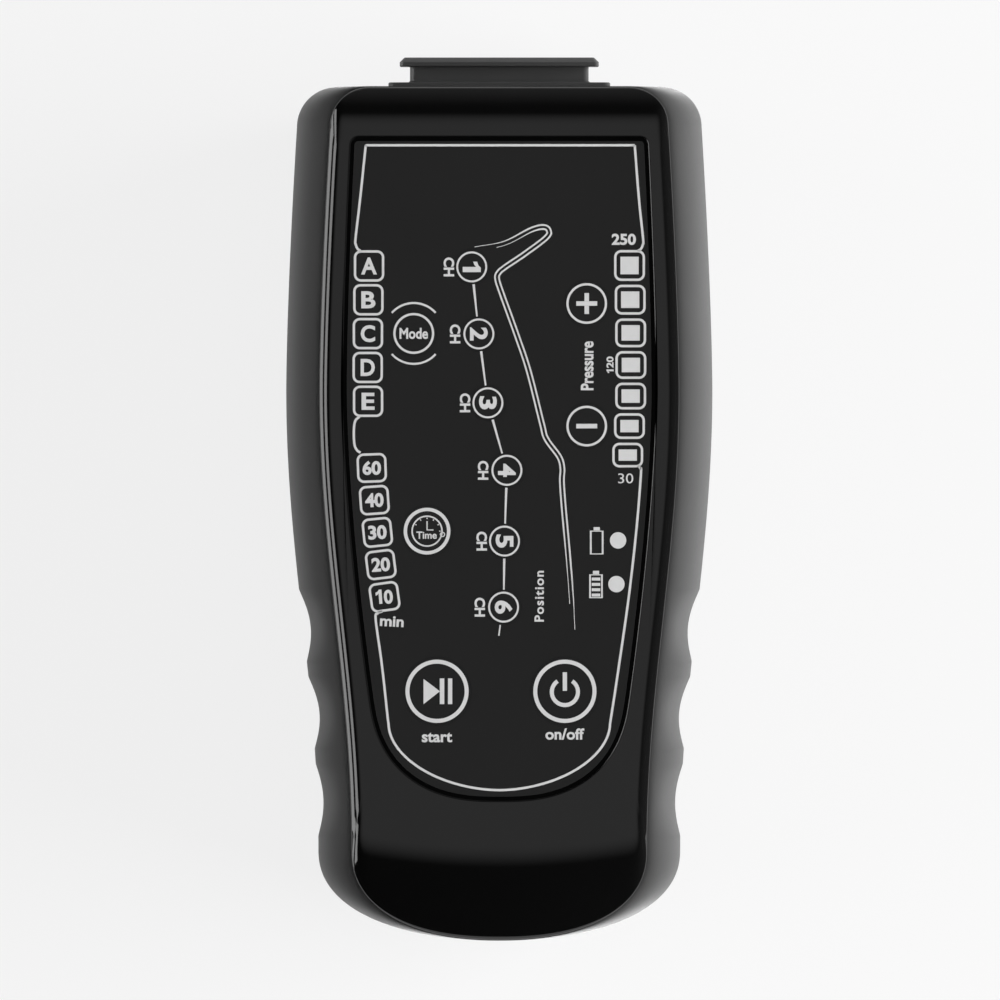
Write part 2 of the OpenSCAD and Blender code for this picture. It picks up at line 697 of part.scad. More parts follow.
module main_board() {
    top = tray_y0 + tray_length - 1.5;
    bottom = body_bottom + wall + 1;
    narrow_y = chin_screws_y + 7;
    narrow = chin_screws_x - cover_boss_r - 0.8;
    tall = (board_z - 2 * board_t - main_board_z) * 0.66;
    color("#1d5c38") {
        difference() {
            translate([0, 0, main_board_z]) linear_extrude(board_t) polygon([
                [-main_board_half, top], [main_board_half, top], [main_board_half, narrow_y],
                [narrow, narrow_y - 4], [narrow, bottom + 5], [narrow - 7, bottom],
                [-narrow + 7, bottom], [-narrow, bottom + 5], [-narrow, narrow_y - 4],
                [-main_board_half, narrow_y]
            ]);
            for (p = MAIN_SCREWS)
                translate([p[0], p[1], main_board_z - 1])
                    cylinder(r = board_screw_r + 0.1, h = board_t + 2, $fn = 48);
            for (p = CASE_SCREWS)
                translate([p[0], p[1], main_board_z - 1])
                    cylinder(r = cover_boss_r + boss_gap, h = board_t + 2, $fn = 48);
        }
        chip(-4, top - 20, [10, 10, 1.2]);
        chip(12, top - 22, [6, 5, 1.4]);
        chip(-15, top - 42, [5, 6, 1.4]);
        chip(0, top - 6, [14, 4, 2.4]);
        chip(10, top - 50, [7, 7, 3]);
        for (x = [-10, -2])
            translate([x, top - 56, main_board_z + board_t]) cylinder(r = 3, h = tall, $fn = 48);
    }
}

module charging_jack() {
    y0 = body_bottom + wall + jack_gap;
    nose_y = body_bottom + 0.1;
    nose = y0 - nose_y;
    color("#141414") {
        difference() {
            union() {
                translate([-jack_side / 2, y0, jack_z - jack_height / 2])
                    cube([jack_side, jack_length, jack_height]);
                translate([0, nose_y, jack_z])
                    rotate([-90, 0, 0]) cylinder(r = jack_nose_r, h = nose + 1, $fn = 64);
            }
            translate([0, nose_y - 1, jack_z])
                rotate([-90, 0, 0]) cylinder(r = jack_socket_r, h = nose + 10, $fn = 64);
        }
        translate([0, nose_y + 1, jack_z])
            rotate([-90, 0, 0]) cylinder(r = jack_pin_r, h = nose + 9, $fn = 48);
    }
}

// ---- Battery ----

module battery_cells() {
    y0 = tray_y0 + (tray_length - cell_length) / 2;
    color("#3f6f9f") for (s = [-1, 1])
        translate([s * cell_x, y0, cell_z]) rotate([-90, 0, 0]) {
            cylinder(r = cell_r, h = cell_length - 0.6, $fn = 64);
            cylinder(r = 3, h = cell_length, $fn = 48);
        }
}

module battery_tray() {
    trough_y = tray_y0 + tray_wall;
    color("#2d2d2f") difference() {
        translate([-tray_width / 2, tray_y0, floor_z])
            cube([tray_width, tray_length, cell_z - floor_z]);
        for (s = [-1, 1])
            translate([s * cell_x, trough_y, cell_z])
                rotate([-90, 0, 0]) cylinder(r = cell_r + cell_gap, h = tray_length - 2 * tray_wall, $fn = 64);
        // hollow underneath, between the troughs
        translate([-cell_x + 4, trough_y + 2, floor_z - 1])
            cube([2 * (cell_x - 4), tray_length - 2 * tray_wall - 4, 1.6]);
    }
}

// ---- Air port, tubes and valves ----

module air_port() {
    plate_z = port_z - port_plate_depth / 2;
    flange_front = body_top + port_flange_proud;
    spigot = barb_length;
    color("#39393b") difference() {
        union() {
            // plate behind the wall
            translate([-port_plate_half, port_plate_y, plate_z])
                cube([2 * port_plate_half, port_plate_t, port_plate_depth]);
            // flange that fills the window
            translate([-port_flange_width / 2, port_plate_y, port_z - port_body_depth / 2])
                cube([port_flange_width, flange_front - port_plate_y, port_body_depth]);
            translate([-neck_width / 2, port_plate_y, port_z - neck_depth / 2])
                cube([neck_width, port_front - port_plate_y - 0.2, neck_depth]);
            port_lip();
            for (x = OUTLETS)
                translate([x, port_plate_y - spigot, port_z])
                    rotate([-90, 0, 0]) cylinder(r = barb_r, h = spigot + 1, $fn = 48);
        }
        for (x = OUTLETS) {
            translate([x, port_plate_y + 1.5, port_z])
                rotate([-90, 0, 0]) cylinder(r = outlet_r, h = port_front, $fn = 64);
            translate([x, port_plate_y - spigot - 1, port_z])
                rotate([-90, 0, 0]) cylinder(r = barb_r - 0.6, h = spigot + 4, $fn = 48);
        }
    }
}

// The latch lip: a slab with its outer edges chamfered
module port_lip() {
    c = 1;
    w = lip_width / 2;
    d = neck_depth / 2 + 1;
    translate([0, 0, port_z - d]) linear_extrude(2 * d)
        polygon([[-w, port_front - lip_t], [w, port_front - lip_t], [w, port_front - c],
                 [w - c, port_front], [-w + c, port_front], [-w, port_front - c]]);
}

module port_gasket() {
    color("#1a1a1a") difference() {
        translate([-port_plate_half, port_gasket_y, port_z - port_plate_depth / 2])
            cube([2 * port_plate_half, gasket_t, port_plate_depth]);
        translate([-port_flange_width / 2 - window_gap, port_gasket_y - 1,
                   port_z - port_body_depth / 2 - window_gap])
            cube([port_flange_width + 2 * window_gap, gasket_t + 2, port_body_depth + 2 * window_gap]);
    }
}

// A straight air tube along +Y
module tube(x, y, z, length) {
    translate([x, y, z]) rotate([-90, 0, 0]) difference() {
        cylinder(r = tube_r, h = length, $fn = 48);
        translate([0, 0, -1]) cylinder(r = tube_r - tube_wall, h = length + 2, $fn = 48);
    }
}

pump_tube_y = nozzle_front + 0.1;
module air_tubes() {
    gap = 0.1;
    y0 = manifold_y + manifold_depth + gap;
    color("#c9cdca") {
        for (x = OUTLETS) tube(x, y0, port_z, port_plate_y - gap - y0);
        tube(nozzle_x, pump_tube_y, nozzle_z, manifold_y - gap - pump_tube_y);
    }
}

module valve_manifold() {
    base_z = port_z - manifold_h / 2;
    block = 9;
    color("#d8d4c8") difference() {
        union() {
            translate([-manifold_half, manifold_y, base_z])
                cube([2 * manifold_half, manifold_depth, manifold_h]);
            // riser of the inlet, over the valves
            translate([nozzle_x - block / 2, manifold_y, base_z + 1])
                cube([block, manifold_depth, nozzle_z + 3 - base_z - 1]);
            translate([nozzle_x, manifold_y - barb_length, nozzle_z])
                rotate([-90, 0, 0]) cylinder(r = barb_r, h = barb_length + 1, $fn = 48);
            for (x = OUTLETS)
                translate([x, manifold_y + manifold_depth - 1, port_z])
                    rotate([-90, 0, 0]) cylinder(r = barb_r, h = barb_length + 1, $fn = 48);
        }
        for (x = OUTLETS)
            translate([x, manifold_y + manifold_depth - 3, port_z])
                rotate([-90, 0, 0]) cylinder(r = barb_r - 0.6, h = barb_length + 4, $fn = 48);
        for (x = VALVES)
            translate([x, manifold_y - 1, port_z])
                rotate([-90, 0, 0]) cylinder(r = 0.6, h = 5, $fn = 48);
        translate([nozzle_x, manifold_y - barb_length - 1, nozzle_z])
            rotate([-90, 0, 0]) cylinder(r = barb_r - 0.6, h = barb_length + 5, $fn = 48);
    }
}

module valve_yokes() {
    y0 = manifold_y - valve_length;
    front_hole = 1.3;
    color("#a9adb1") for (x = VALVES) {
        difference() {
            translate([x - valve_width / 2, y0, port_z - valve_height / 2])
                cube([valve_width, valve_length, valve_height]);
            translate([x - valve_width / 2 + valve_plate, y0 + valve_plate, port_z - valve_height])
                cube([valve_width - 2 * valve_plate, valve_length - 2 * valve_plate, 2 * valve_height]);
            translate([x, manifold_y - 2 * valve_plate, port_z])
                rotate([-90, 0, 0]) cylinder(r = front_hole, h = 3, $fn = 48);
        }
        // fixed core
        translate([x, y0 + 0.5, port_z])
            rotate([-90, 0, 0]) cylinder(r = armature_r, h = core_end_y - y0 - 0.5, $fn = 48);
    }
}

module valve_coils() {
    y0 = manifold_y - valve_length + valve_plate + 0.1;
    length = valve_length - 2 * valve_plate - 0.2;
    flange = 0.9;
    color("#9a4a22") for (x = VALVES)
        translate([x, y0, port_z]) rotate([-90, 0, 0]) difference() {
            union() {
                cylinder(r = valve_width / 2 - valve_plate - 0.5, h = length, $fn = 48);
                for (y = [0, length - flange]) translate([0, 0, y])
                    cylinder(r = valve_width / 2 - valve_plate - 0.1, h = flange, $fn = 48);
            }
            translate([0, 0, -1]) cylinder(r = armature_r + running_gap, h = length + 2, $fn = 48);
        }
}

module armature(i) {
    y0 = core_end_y + core_gap + valve_travel;
    front = manifold_y - valve_plate - 0.2;
    color("#cfd3d6") translate([VALVES[i], 0, port_z]) rotate([-90, 0, 0]) {
        translate([0, 0, y0]) cylinder(r = armature_r, h = front - y0, $fn = 48);
        translate([0, 0, front - 0.5]) cylinder(r = 1, h = 1.5, $fn = 48);
    }
}

module pressure_sensor() {
    side = manifold_depth - 2;
    color("#e4e2da") translate([(OUTLETS[0] + OUTLETS[1] - side) / 2, manifold_y + 1, port_z + manifold_h / 2]) {
        cube([side, side, side / 2]);
        translate([side / 2, side / 2, side / 2 - 0.5]) cylinder(r = 1.4, h = 2.5, $fn = 48);
    }
}

// ---- Motor and diaphragm pump ----

// Turns a shape built along Z so that it lies along +X on the motor's axis
module on_axis(x) {
    translate([x, motor_y, motor_z]) rotate([0, 90, 0]) children();
}

module motor_can() {
    t = 1;
    boss_r = 3.2;
    color("#9fa3a6") on_axis(motor_x) difference() {
        union() {
            cylinder(r = motor_r, h = motor_length, $fn = 96);
            translate([0, 0, -1.6]) cylinder(r = boss_r, h = 2, $fn = 48);
        }
        translate([0, 0, t]) cylinder(r = motor_r - 2.4, h = motor_length - 2 * t, $fn = 96);
        translate([0, 0, -3]) cylinder(r = shaft_r + bearing_gap, h = motor_length + 6, $fn = 48);
    }
}

module motor_sleeve() {
    color("#111111") on_axis(motor_x + 3) difference() {
        cylinder(r = motor_r + sleeve_t, h = motor_length - 8, $fn = 96);
        translate([0, 0, -1]) cylinder(r = motor_r + 0.02, h = motor_length, $fn = 96);
    }
}

shaft_end = 6;
module motor_rotor() {
    core = motor_length - 10;
    color("#b07a4a") on_axis(motor_x) {
        translate([0, 0, -1.2]) cylinder(r = shaft_r, h = motor_length + 1.2 + shaft_end, $fn = 48);
        translate([0, 0, 4]) cylinder(r = motor_r - 3, h = core, $fn = 96);
        translate([0, 0, 4 + core + 0.5]) cylinder(r = 4, h = 3.5, $fn = 48);
    }
}

crank_x = 2.2;
module motor_crank() {
    color("#d9d4c4") on_axis(pump_x + crank_x) difference() {
        union() {
            cylinder(r = 3, h = shaft_end - crank_x + 0.4, $fn = 48);
            translate([crank_throw, 0, shaft_end - crank_x])
                cylinder(r = 0.8, h = 2.6, $fn = 48);
        }
        translate([0, 0, -1]) cylinder(r = shaft_r + 0.02, h = shaft_end - crank_x + 1.05, $fn = 48);
    }
}

module pump_housing() {
    t = 1.5;
    color("#e6e2d6") on_axis(pump_x + 0.05) difference() {
        cylinder(r = pump_r, h = pump_housing_length - 0.1, $fn = 96);
        translate([0, 0, t]) cylinder(r = pump_r - t, h = pump_housing_length, $fn = 96);
        translate([0, 0, -1]) cylinder(r = 3.6, h = t + 2, $fn = 48);
    }
}

cup_r = 2.9;
cup_ring = 6.4;
plate_x = shaft_end + 0.9;
plate_t = 1.6;
module wobble_plate() {
    color("#f0ece0") on_axis(pump_x + plate_x) difference() {
        union() {
            cylinder(r = 4.6, h = plate_t, $fn = 48);
            for (a = [0, 120, 240]) rotate([0, 0, a]) {
                translate([0, -1.5, 0]) cube([cup_ring, 3, plate_t]);
                translate([cup_ring, 0, 0]) cylinder(r = cup_r, h = plate_t, $fn = 48);
            }
        }
        translate([0, 0, -1]) cylinder(r = crank_throw + 0.8 + 0.4, h = plate_t + 2, $fn = 48);
    }
}

module pump_diaphragm() {
    depth = pump_housing_length - plate_x - plate_t;
    color("#26282a") on_axis(pump_x + pump_housing_length) difference() {
        union() {
            cylinder(r = pump_r - 0.2, h = diaphragm_t - 0.05, $fn = 96);
            for (a = [0, 120, 240]) rotate([0, 0, a])
                translate([cup_ring, 0, -depth]) cylinder(r = cup_r, h = depth + 0.5, $fn = 48);
        }
        for (a = [0, 120, 240]) rotate([0, 0, a])
            translate([cup_ring, 0, -depth + 0.8]) cylinder(r = cup_r - 0.8, h = depth + 3, $fn = 48);
    }
}

module pump_head() {
    block = 7;
    color("#dcd8cc") difference() {
        union() {
            on_axis(head_x) cylinder(r = pump_r, h = pump_head_length, $fn = 96);
            translate([nozzle_x - block / 2, motor_y - 4, motor_z + 6])
                cube([block, nozzle_front - motor_y + 4, nozzle_z + 2.6 - motor_z - 6]);
            translate([nozzle_x, nozzle_front - 1, nozzle_z])
                rotate([-90, 0, 0]) cylinder(r = barb_r, h = barb_length + 1, $fn = 48);
        }
        translate([nozzle_x, motor_y, nozzle_z])
            rotate([-90, 0, 0])
                cylinder(r = barb_r - 0.6, h = nozzle_front + barb_length - motor_y + 1, $fn = 48);
        on_axis(head_x - 1) cylinder(r = 4, h = 4, $fn = 48);
    }
}

rear_shell();
front_cover();
overlay_film();
for (i = key_range) {
    key(i);
    plunger(i);
}
switch_housings();
keypad_board();
setting_lamps();
pressure_lamps();
battery_lamps();
board_screws();
case_screws();
rubber_feet();
air_port();
port_gasket();
air_tubes();
valve_manifold();
valve_yokes();
valve_coils();
for (i = [0:5])
    armature(i);
pressure_sensor();
motor_can();
motor_sleeve();
motor_rotor();
motor_crank();
pump_housing();
wobble_plate();
pump_diaphragm();
pump_head();
battery_cells();
battery_tray();
main_board();
charging_jack();
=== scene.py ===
import math

import bpy
import numpy as np
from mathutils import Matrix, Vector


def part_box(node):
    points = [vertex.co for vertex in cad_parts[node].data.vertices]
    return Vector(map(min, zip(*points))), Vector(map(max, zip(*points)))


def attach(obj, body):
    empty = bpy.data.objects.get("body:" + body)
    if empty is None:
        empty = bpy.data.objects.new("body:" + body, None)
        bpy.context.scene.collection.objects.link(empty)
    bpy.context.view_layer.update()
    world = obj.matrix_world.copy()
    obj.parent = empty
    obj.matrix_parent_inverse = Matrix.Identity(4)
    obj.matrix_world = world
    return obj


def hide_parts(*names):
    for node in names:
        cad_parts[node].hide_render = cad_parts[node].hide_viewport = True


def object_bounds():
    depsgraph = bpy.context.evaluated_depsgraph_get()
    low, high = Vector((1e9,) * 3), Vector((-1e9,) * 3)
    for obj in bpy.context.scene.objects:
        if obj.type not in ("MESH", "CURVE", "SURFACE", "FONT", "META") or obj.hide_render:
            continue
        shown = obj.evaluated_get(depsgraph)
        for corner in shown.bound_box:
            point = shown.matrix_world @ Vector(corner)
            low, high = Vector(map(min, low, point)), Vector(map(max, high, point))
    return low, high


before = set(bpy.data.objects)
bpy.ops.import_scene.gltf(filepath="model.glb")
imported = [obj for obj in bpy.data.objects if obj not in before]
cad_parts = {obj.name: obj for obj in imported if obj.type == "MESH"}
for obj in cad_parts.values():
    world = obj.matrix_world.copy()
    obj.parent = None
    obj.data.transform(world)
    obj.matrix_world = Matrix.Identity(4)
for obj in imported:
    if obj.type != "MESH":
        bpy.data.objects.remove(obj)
cad_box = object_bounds()

# ---- Rear shell ----
# The matte dark grey tub that lies in the hand, moulded in one piece with a fine eroded texture.
# It has three finger grooves down each side, and the case screws go in from its flat back.

MM = 0.001
shell_low, shell_high = (np.array(corner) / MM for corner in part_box("rear_shell"))
BOTTOM, TOP = shell_low[1], shell_high[1]
BACK, SEAM = shell_low[2], shell_high[2]
HALF_WIDTH = 45.0
HALF_WAIST = 38.2
TOP_TAPER = 2.8
TAPER_POWER = 1.5
WIDEST_Y = TOP - 63.9
WIDEST_Z = 20.0
CHIN_LENGTH = 19.0
CHIN_ROUNDNESS = 2.25
CHIN_Y = BOTTOM + CHIN_LENGTH
CHIN_START_SHARE = 0.6
CORNER = 8.4
WALL = 2.2
BACK_ROUND = 8.0
BACK_POWER = 2.4
BACK_GROOVES = 0.25
GROOVES_FULL = math.radians(60)
SHOULDER = 7.1
SHOULDER_END = math.radians(87)
GROOVE_DEPTHS = (1.25, 1.6, 1.6)
GROOVE_LENGTH = 15.4
GROOVE_PITCH = 18.4
GROOVE_POWER = 1.2
FIRST_GROOVE = CHIN_Y + 10.6
GROOVES_END = FIRST_GROOVE + 2 * GROOVE_PITCH + GROOVE_LENGTH / 2 + 1
SEAM_FALL = 5.0
SEAM_FALL_Y = CHIN_Y + 6
SEAM_FALL_LENGTH = CHIN_LENGTH + 2
# points along each stretch of an outline, from the middle of the top to the tip of the chin
EDGE_STEPS, CORNER_STEPS, UPPER_STEPS, LOWER_STEPS, CHIN_STEPS = 12, 24, 60, 180, 72


def smooth(t):
    """Eases from 0 to 1: 3 t squared less 2 t cubed."""
    t = np.clip(t, 0, 1)
    return t * t * (3 - 2 * t)


def casing_half(y):
    """Half width of the casing: a power curve above the widest place, half a cosine wave below."""
    up = np.clip((y - WIDEST_Y) / (TOP - WIDEST_Y), 0, None)
    down = np.clip((WIDEST_Y - y) / (WIDEST_Y - CHIN_Y), 0, 1)
    wave = (HALF_WIDTH - HALF_WAIST) / 2 * (np.cos(np.pi * down) - 1)
    return HALF_WIDTH - TOP_TAPER * up ** TAPER_POWER + wave


def groove_depth(y):
    """Depth of the finger grooves: 1 less u squared, to a power, with u from -1 to 1 in each."""
    depth = np.zeros_like(y)
    for i, deepest in enumerate(GROOVE_DEPTHS):
        u = (y - FIRST_GROOVE - i * GROOVE_PITCH) / (GROOVE_LENGTH / 2)
        depth += deepest * np.clip(1 - u * u, 0, None) ** GROOVE_POWER
    return depth


def both_halves(half):
    """A closed outline from its right half, which starts and ends on the centre line."""
    return np.vstack([half, half[-2:0:-1] * [-1, 1]])


def outline(sides, top, bottom, grooves=0.0, roundness=CHIN_ROUNDNESS, corner=CORNER):
    """The casing from the front, inset at the sides, top and bottom. Round corners, grooved sides,
    and a chin that is a superellipse: cosine and sine of one angle to the power 2 / roundness."""
    y_top, y_corner = TOP - top, TOP - top - corner
    y_chin, y_end = CHIN_Y + bottom * CHIN_START_SHARE, BOTTOM + bottom
    turn = np.radians(np.linspace(90, 0, CORNER_STEPS, endpoint=False))
    centre = casing_half(y_corner) - sides - corner
    edge = np.linspace(0, centre, EDGE_STEPS, endpoint=False)
    upper = np.linspace(y_corner, GROOVES_END, UPPER_STEPS, endpoint=False)
    lower = np.linspace(GROOVES_END, y_chin, LOWER_STEPS, endpoint=False)
    chin = np.radians(np.linspace(0, 90, CHIN_STEPS))
    half = np.vstack([
        np.column_stack([edge, np.full_like(edge, y_top)]),
        np.column_stack([centre + corner * np.cos(turn), y_corner + corner * np.sin(turn)]),
        np.column_stack([casing_half(upper) - sides, upper]),
        np.column_stack([casing_half(lower) - sides - grooves * groove_depth(lower), lower]),
        np.column_stack([(HALF_WAIST - sides) * np.cos(chin).clip(0) ** (2 / roundness),
                         y_chin - (y_chin - y_end) * np.sin(chin) ** (2 / roundness)]),
    ])
    return both_halves(half)


def at_height(ring, z):
    """An outline lifted to a height, or to one height for each of its points."""
    return np.column_stack([ring, np.broadcast_to(z, len(ring))])


def seam_height(y):
    """Height of the seam: level along the sides, lower at the chin."""
    return SEAM - SEAM_FALL * smooth((SEAM_FALL_Y - y) / SEAM_FALL_LENGTH)


def belly_ring(angle, wall):
    """A level outline of the tub's lower half, at an angle along a superellipse from back to side."""
    inset = wall + BACK_ROUND * (1 - math.sin(angle) ** (2 / BACK_POWER))
    z = WIDEST_Z - (WIDEST_Z - BACK - wall) * abs(math.cos(angle)) ** (2 / BACK_POWER)
    grooves = BACK_GROOVES + (1 - BACK_GROOVES) * float(smooth(angle / GROOVES_FULL))
    return at_height(outline(inset, inset, inset, grooves, corner=CORNER - wall / 2), z)


def shoulder_ring(angle, wall):
    """An outline of the shoulder, at an angle along an ellipse from the widest line to the seam."""
    share = (1 - math.cos(angle)) / (1 - math.cos(SHOULDER_END))
    grooves = 1 - float(smooth(share))
    ring = outline(wall + SHOULDER * share, wall, wall, grooves, corner=CORNER - wall / 2)
    rise = math.sin(angle) / math.sin(SHOULDER_END)
    return at_height(ring, WIDEST_Z + (seam_height(ring[:, 1]) - WIDEST_Z) * rise)


def skin(rings, joined=False):
    """Quads from each ring to the next. The ends get one flat face each, or are joined together."""
    rings = np.asarray(rings)
    count, n = rings.shape[:2]
    i = np.arange(count if joined else count - 1)[:, None]
    j = np.arange(n)[None, :]
    here, there, k = i * n, (i + 1) % count * n, (j + 1) % n
    faces = np.stack([here + j, here + k, there + k, there + j], -1).reshape(-1, 4).tolist()
    if not joined:
        faces += [list(range(n))[::-1], list(range((count - 1) * n, count * n))]
    return rings.reshape(-1, 3), faces


def turned(profile, centre, along="z", joined=False, n=96):
    """A profile of (radius, height) points carried once round an axis through the centre."""
    radius, height = np.array(profile, float).T[:, :, None]
    angle = np.linspace(0, 2 * np.pi, n, endpoint=False)
    across, up = radius * np.cos(angle), radius * np.sin(angle)
    height = np.broadcast_to(height, across.shape)
    axes = (across, up, height) if along == "z" else (across, height, up)
    return skin(np.stack(axes, -1) + centre, joined)


CREASE = 35


def piece(name, parts):
    """One object from closed skins, with its faces outwards and smooth below the crease angle."""
    mesh = bpy.data.meshes.new(name)
    points, faces, start = [], [], 0
    for part_points, part_faces in parts:
        points.append(part_points)
        faces += [[start + v for v in face] for face in part_faces]
        start += len(part_points)
    mesh.from_pydata((np.vstack(points) * MM).tolist(), [], faces)
    made = bpy.data.objects.new(name, mesh)
    bpy.context.scene.collection.objects.link(made)
    bpy.context.view_layer.objects.active = made
    bpy.ops.object.mode_set(mode="EDIT")
    bpy.ops.mesh.select_all(action="SELECT")
    bpy.ops.mesh.normals_make_consistent(inside=False)
    bpy.ops.object.mode_set(mode="OBJECT")
    smooth_below(made, CREASE)
    return made


def smooth_below(made, crease):
    """Smooth shading, with a sharp edge wherever two faces meet above an angle in degrees."""
    made.data.shade_smooth()
    made.data.set_sharp_from_angle(angle=math.radians(crease))


def cut(made, parts, crease=CREASE):
    """Takes closed skins out of a piece for good."""
    tool = piece("tool", parts)
    modifier = made.modifiers.new("cut", "BOOLEAN")
    modifier.operation = "DIFFERENCE"
    modifier.solver = "EXACT"
    modifier.object = tool
    graph = bpy.context.evaluated_depsgraph_get()
    made.data = bpy.data.meshes.new_from_object(made.evaluated_get(graph))
    made.modifiers.clear()
    bpy.data.objects.remove(tool)
    smooth_below(made, crease)


class Wire:
    """An output in a finish's node tree. Operators between wires and numbers add Math nodes."""

    def __init__(self, finish, socket):
        self.finish, self.socket = finish, socket

    def math(self, operation, first, second):
        return self.finish.node("ShaderNodeMath", {"operation": operation}, {0: first, 1: second})

    def __add__(self, other):
        return self.math("ADD", self, other)

    def __pow__(self, other):
        return self.math("POWER", self, other)

    def __mul__(self, other):
        return self.math("MULTIPLY", self, other)

    __radd__ = __add__
    __rmul__ = __mul__


class Finish:
    """A surface finish: a Principled shader with its constants set on the sockets, plus nodes."""

    def __init__(self, name, constants):
        self.material = bpy.data.materials.new(name)
        self.material.use_nodes = True
        self.tree = self.material.node_tree
        self.shader = self.tree.nodes["Principled BSDF"]
        self.place = self.node("ShaderNodeTexCoord", output="Object")
        for socket, value in constants.items():
            self.feed(self.shader.inputs[socket], value)

    def feed(self, socket, value):
        if isinstance(value, Wire):
            self.tree.links.new(value.socket, socket)
        else:
            socket.default_value = value

    def node(self, kind, settings={}, inputs={}, output=0):
        made = self.tree.nodes.new(kind)
        for key, value in settings.items():
            setattr(made, key, value)
        for key, value in inputs.items():
            self.feed(made.inputs[key], value)
        return Wire(self, made.outputs[output])

    def noise(self, features_mm, detail=2.0):
        """Noise whose features measure about so many millimetres."""
        inputs = {"Vector": self.place, "Scale": 1 / (features_mm * MM), "Detail": detail}
        return self.node("ShaderNodeTexNoise", inputs=inputs)

    def blend(self, share, first, second):
        """A colour between two, by share."""
        return self.node("ShaderNodeMix", {"data_type": "RGBA"}, {0: share, 6: first, 7: second}, 2)

    def bump(self, height, depth_mm):
        """Lifts the surface by height times a depth in millimetres."""
        inputs = {"Strength": 1.0, "Distance": depth_mm * MM, "Height": height}
        self.feed(self.shader.inputs["Normal"], self.node("ShaderNodeBump", inputs=inputs))

    def vary(self, socket, value):
        self.feed(self.shader.inputs[socket], value)


def grey(level):
    """A neutral colour of this linear level."""
    return (level, level, level, 1.0)


def shade(colour, factor):
    """A colour made lighter or darker by a factor."""
    return tuple(channel * factor for channel in colour[:3]) + (1.0,)


GRAIN_SWING = 0.12


def grained(finish, grain_mm, grain_depth, middle):
    """Gives a finish a fine grain, whose roughness swings round a middle value."""
    grain = finish.noise(grain_mm, detail=2)
    finish.vary("Roughness", grain * GRAIN_SWING + (middle - GRAIN_SWING / 2))
    finish.bump(grain, grain_depth)


CLOUD_MM = 18
DRIFT = 0.06


def moulded(name, colour, roughness, grain_mm=0.35, grain_depth=0.02):
    """Moulded plastic: an eroded grain in the surface and its gloss, and a slow drift in colour."""
    finish = Finish(name, {"Specular IOR Level": 0.4})
    cloud = finish.noise(CLOUD_MM, detail=3)
    finish.vary("Base Color", finish.blend(cloud, shade(colour, 1 - DRIFT), shade(colour, 1 + DRIFT)))
    grained(finish, grain_mm, grain_depth, roughness)
    return finish.material


def dress(made, material, body="casing"):
    """Gives a piece its material and lets it ride on a body."""
    made.data.materials.append(material)
    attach(made, body)


# the places of the case screws, in pairs from the port's end to the chin, and of the feet
SCREWS_END = [(s * 30.0, TOP - 9.9) for s in (-1, 1)]
MIDDLE_Y = TOP - 111.9
SCREWS_MIDDLE = [(s * (casing_half(MIDDLE_Y) - 14.2), MIDDLE_Y) for s in (-1, 1)]
SCREWS_CHIN = [(s * 22.0, BOTTOM + 15.1) for s in (-1, 1)]
CASE_SCREWS = SCREWS_END + SCREWS_MIDDLE + SCREWS_CHIN
HEAD_HOLE_R = 3.1
HEAD_HOLE_DEPTH = 6
FEET = [(s * x, y) for s in (-1, 1) for x, y in ((26.0, TOP - 22.9), (22.0, BOTTOM + 27.1))]
FOOT_R = 5.0
FOOT_SEAT_DEPTH = 0.8
FOOT_GAP = 0.1
PORT_Z = 22.0
JACK_Z = 21.6
JACK_HOLE_R = 4.1
JACK_HOLE_DEPTH = 6
# how far a cutter starts outside the surface it cuts
PAST = 2


def drum(x, y, low, high, radius, n=64):
    """A plain upright cylinder."""
    return turned([(radius, low), (radius, high)], (x, y, 0), n=n)


def rounded(half_width, half_height, corner, steps):
    """A rectangle round the origin with round corners, each of this many points."""
    turn = np.radians(np.linspace(0, 90, steps))
    corners = ((1, 1, 0), (-1, 1, np.pi / 2), (-1, -1, np.pi), (1, -1, 3 * np.pi / 2))
    return np.vstack([np.column_stack([(half_width - corner) * sx + corner * np.cos(turn + start),
                                       (half_height - corner) * sy + corner * np.sin(turn + start)])
                      for sx, sy, start in corners])


def slab_ring(half_width, half_depth, corner, y):
    """A rounded rectangle in the upright plane at y, round the middle of the port."""
    across, up = rounded(half_width, half_depth, corner, 10).T
    return np.column_stack([across, np.full(len(across), y), up + PORT_Z])


# the skin runs up the outside from the middle of the back to the seam, and down the inside
skin_rings = [belly_ring(a, 0) for a in np.radians(np.linspace(0, 90, 31))]
skin_rings += [shoulder_ring(b, 0) for b in np.linspace(0, SHOULDER_END, 32)[1:]]
skin_rings += [shoulder_ring(b, WALL) for b in np.linspace(SHOULDER_END, 0, 10)]
skin_rings += [belly_ring(a, WALL) for a in np.radians(np.linspace(90, 0, 12)[1:])]
rear_shell = piece("rear_shell_moulding", [skin(skin_rings)])
FLANGE_HALF = 23.4
FLANGE_DEPTH = 8.5
WINDOW_GAP = 0.12
WINDOW_CORNER = 1.5
head_holes = [drum(x, y, BACK - PAST, BACK + HEAD_HOLE_DEPTH, HEAD_HOLE_R) for x, y in CASE_SCREWS]
foot_seats = [drum(x, y, BACK - PAST, BACK + FOOT_SEAT_DEPTH, FOOT_R + FOOT_GAP) for x, y in FEET]
port_window = skin([slab_ring(FLANGE_HALF + WINDOW_GAP, FLANGE_DEPTH + WINDOW_GAP, WINDOW_CORNER, y)
                    for y in (TOP - 8, TOP + 4)])
jack_hole = turned([(JACK_HOLE_R, BOTTOM - 3), (JACK_HOLE_R, BOTTOM + JACK_HOLE_DEPTH)],
                   (0, 0, JACK_Z), along="y")
cut(rear_shell, head_holes + foot_seats + [port_window, jack_hole])


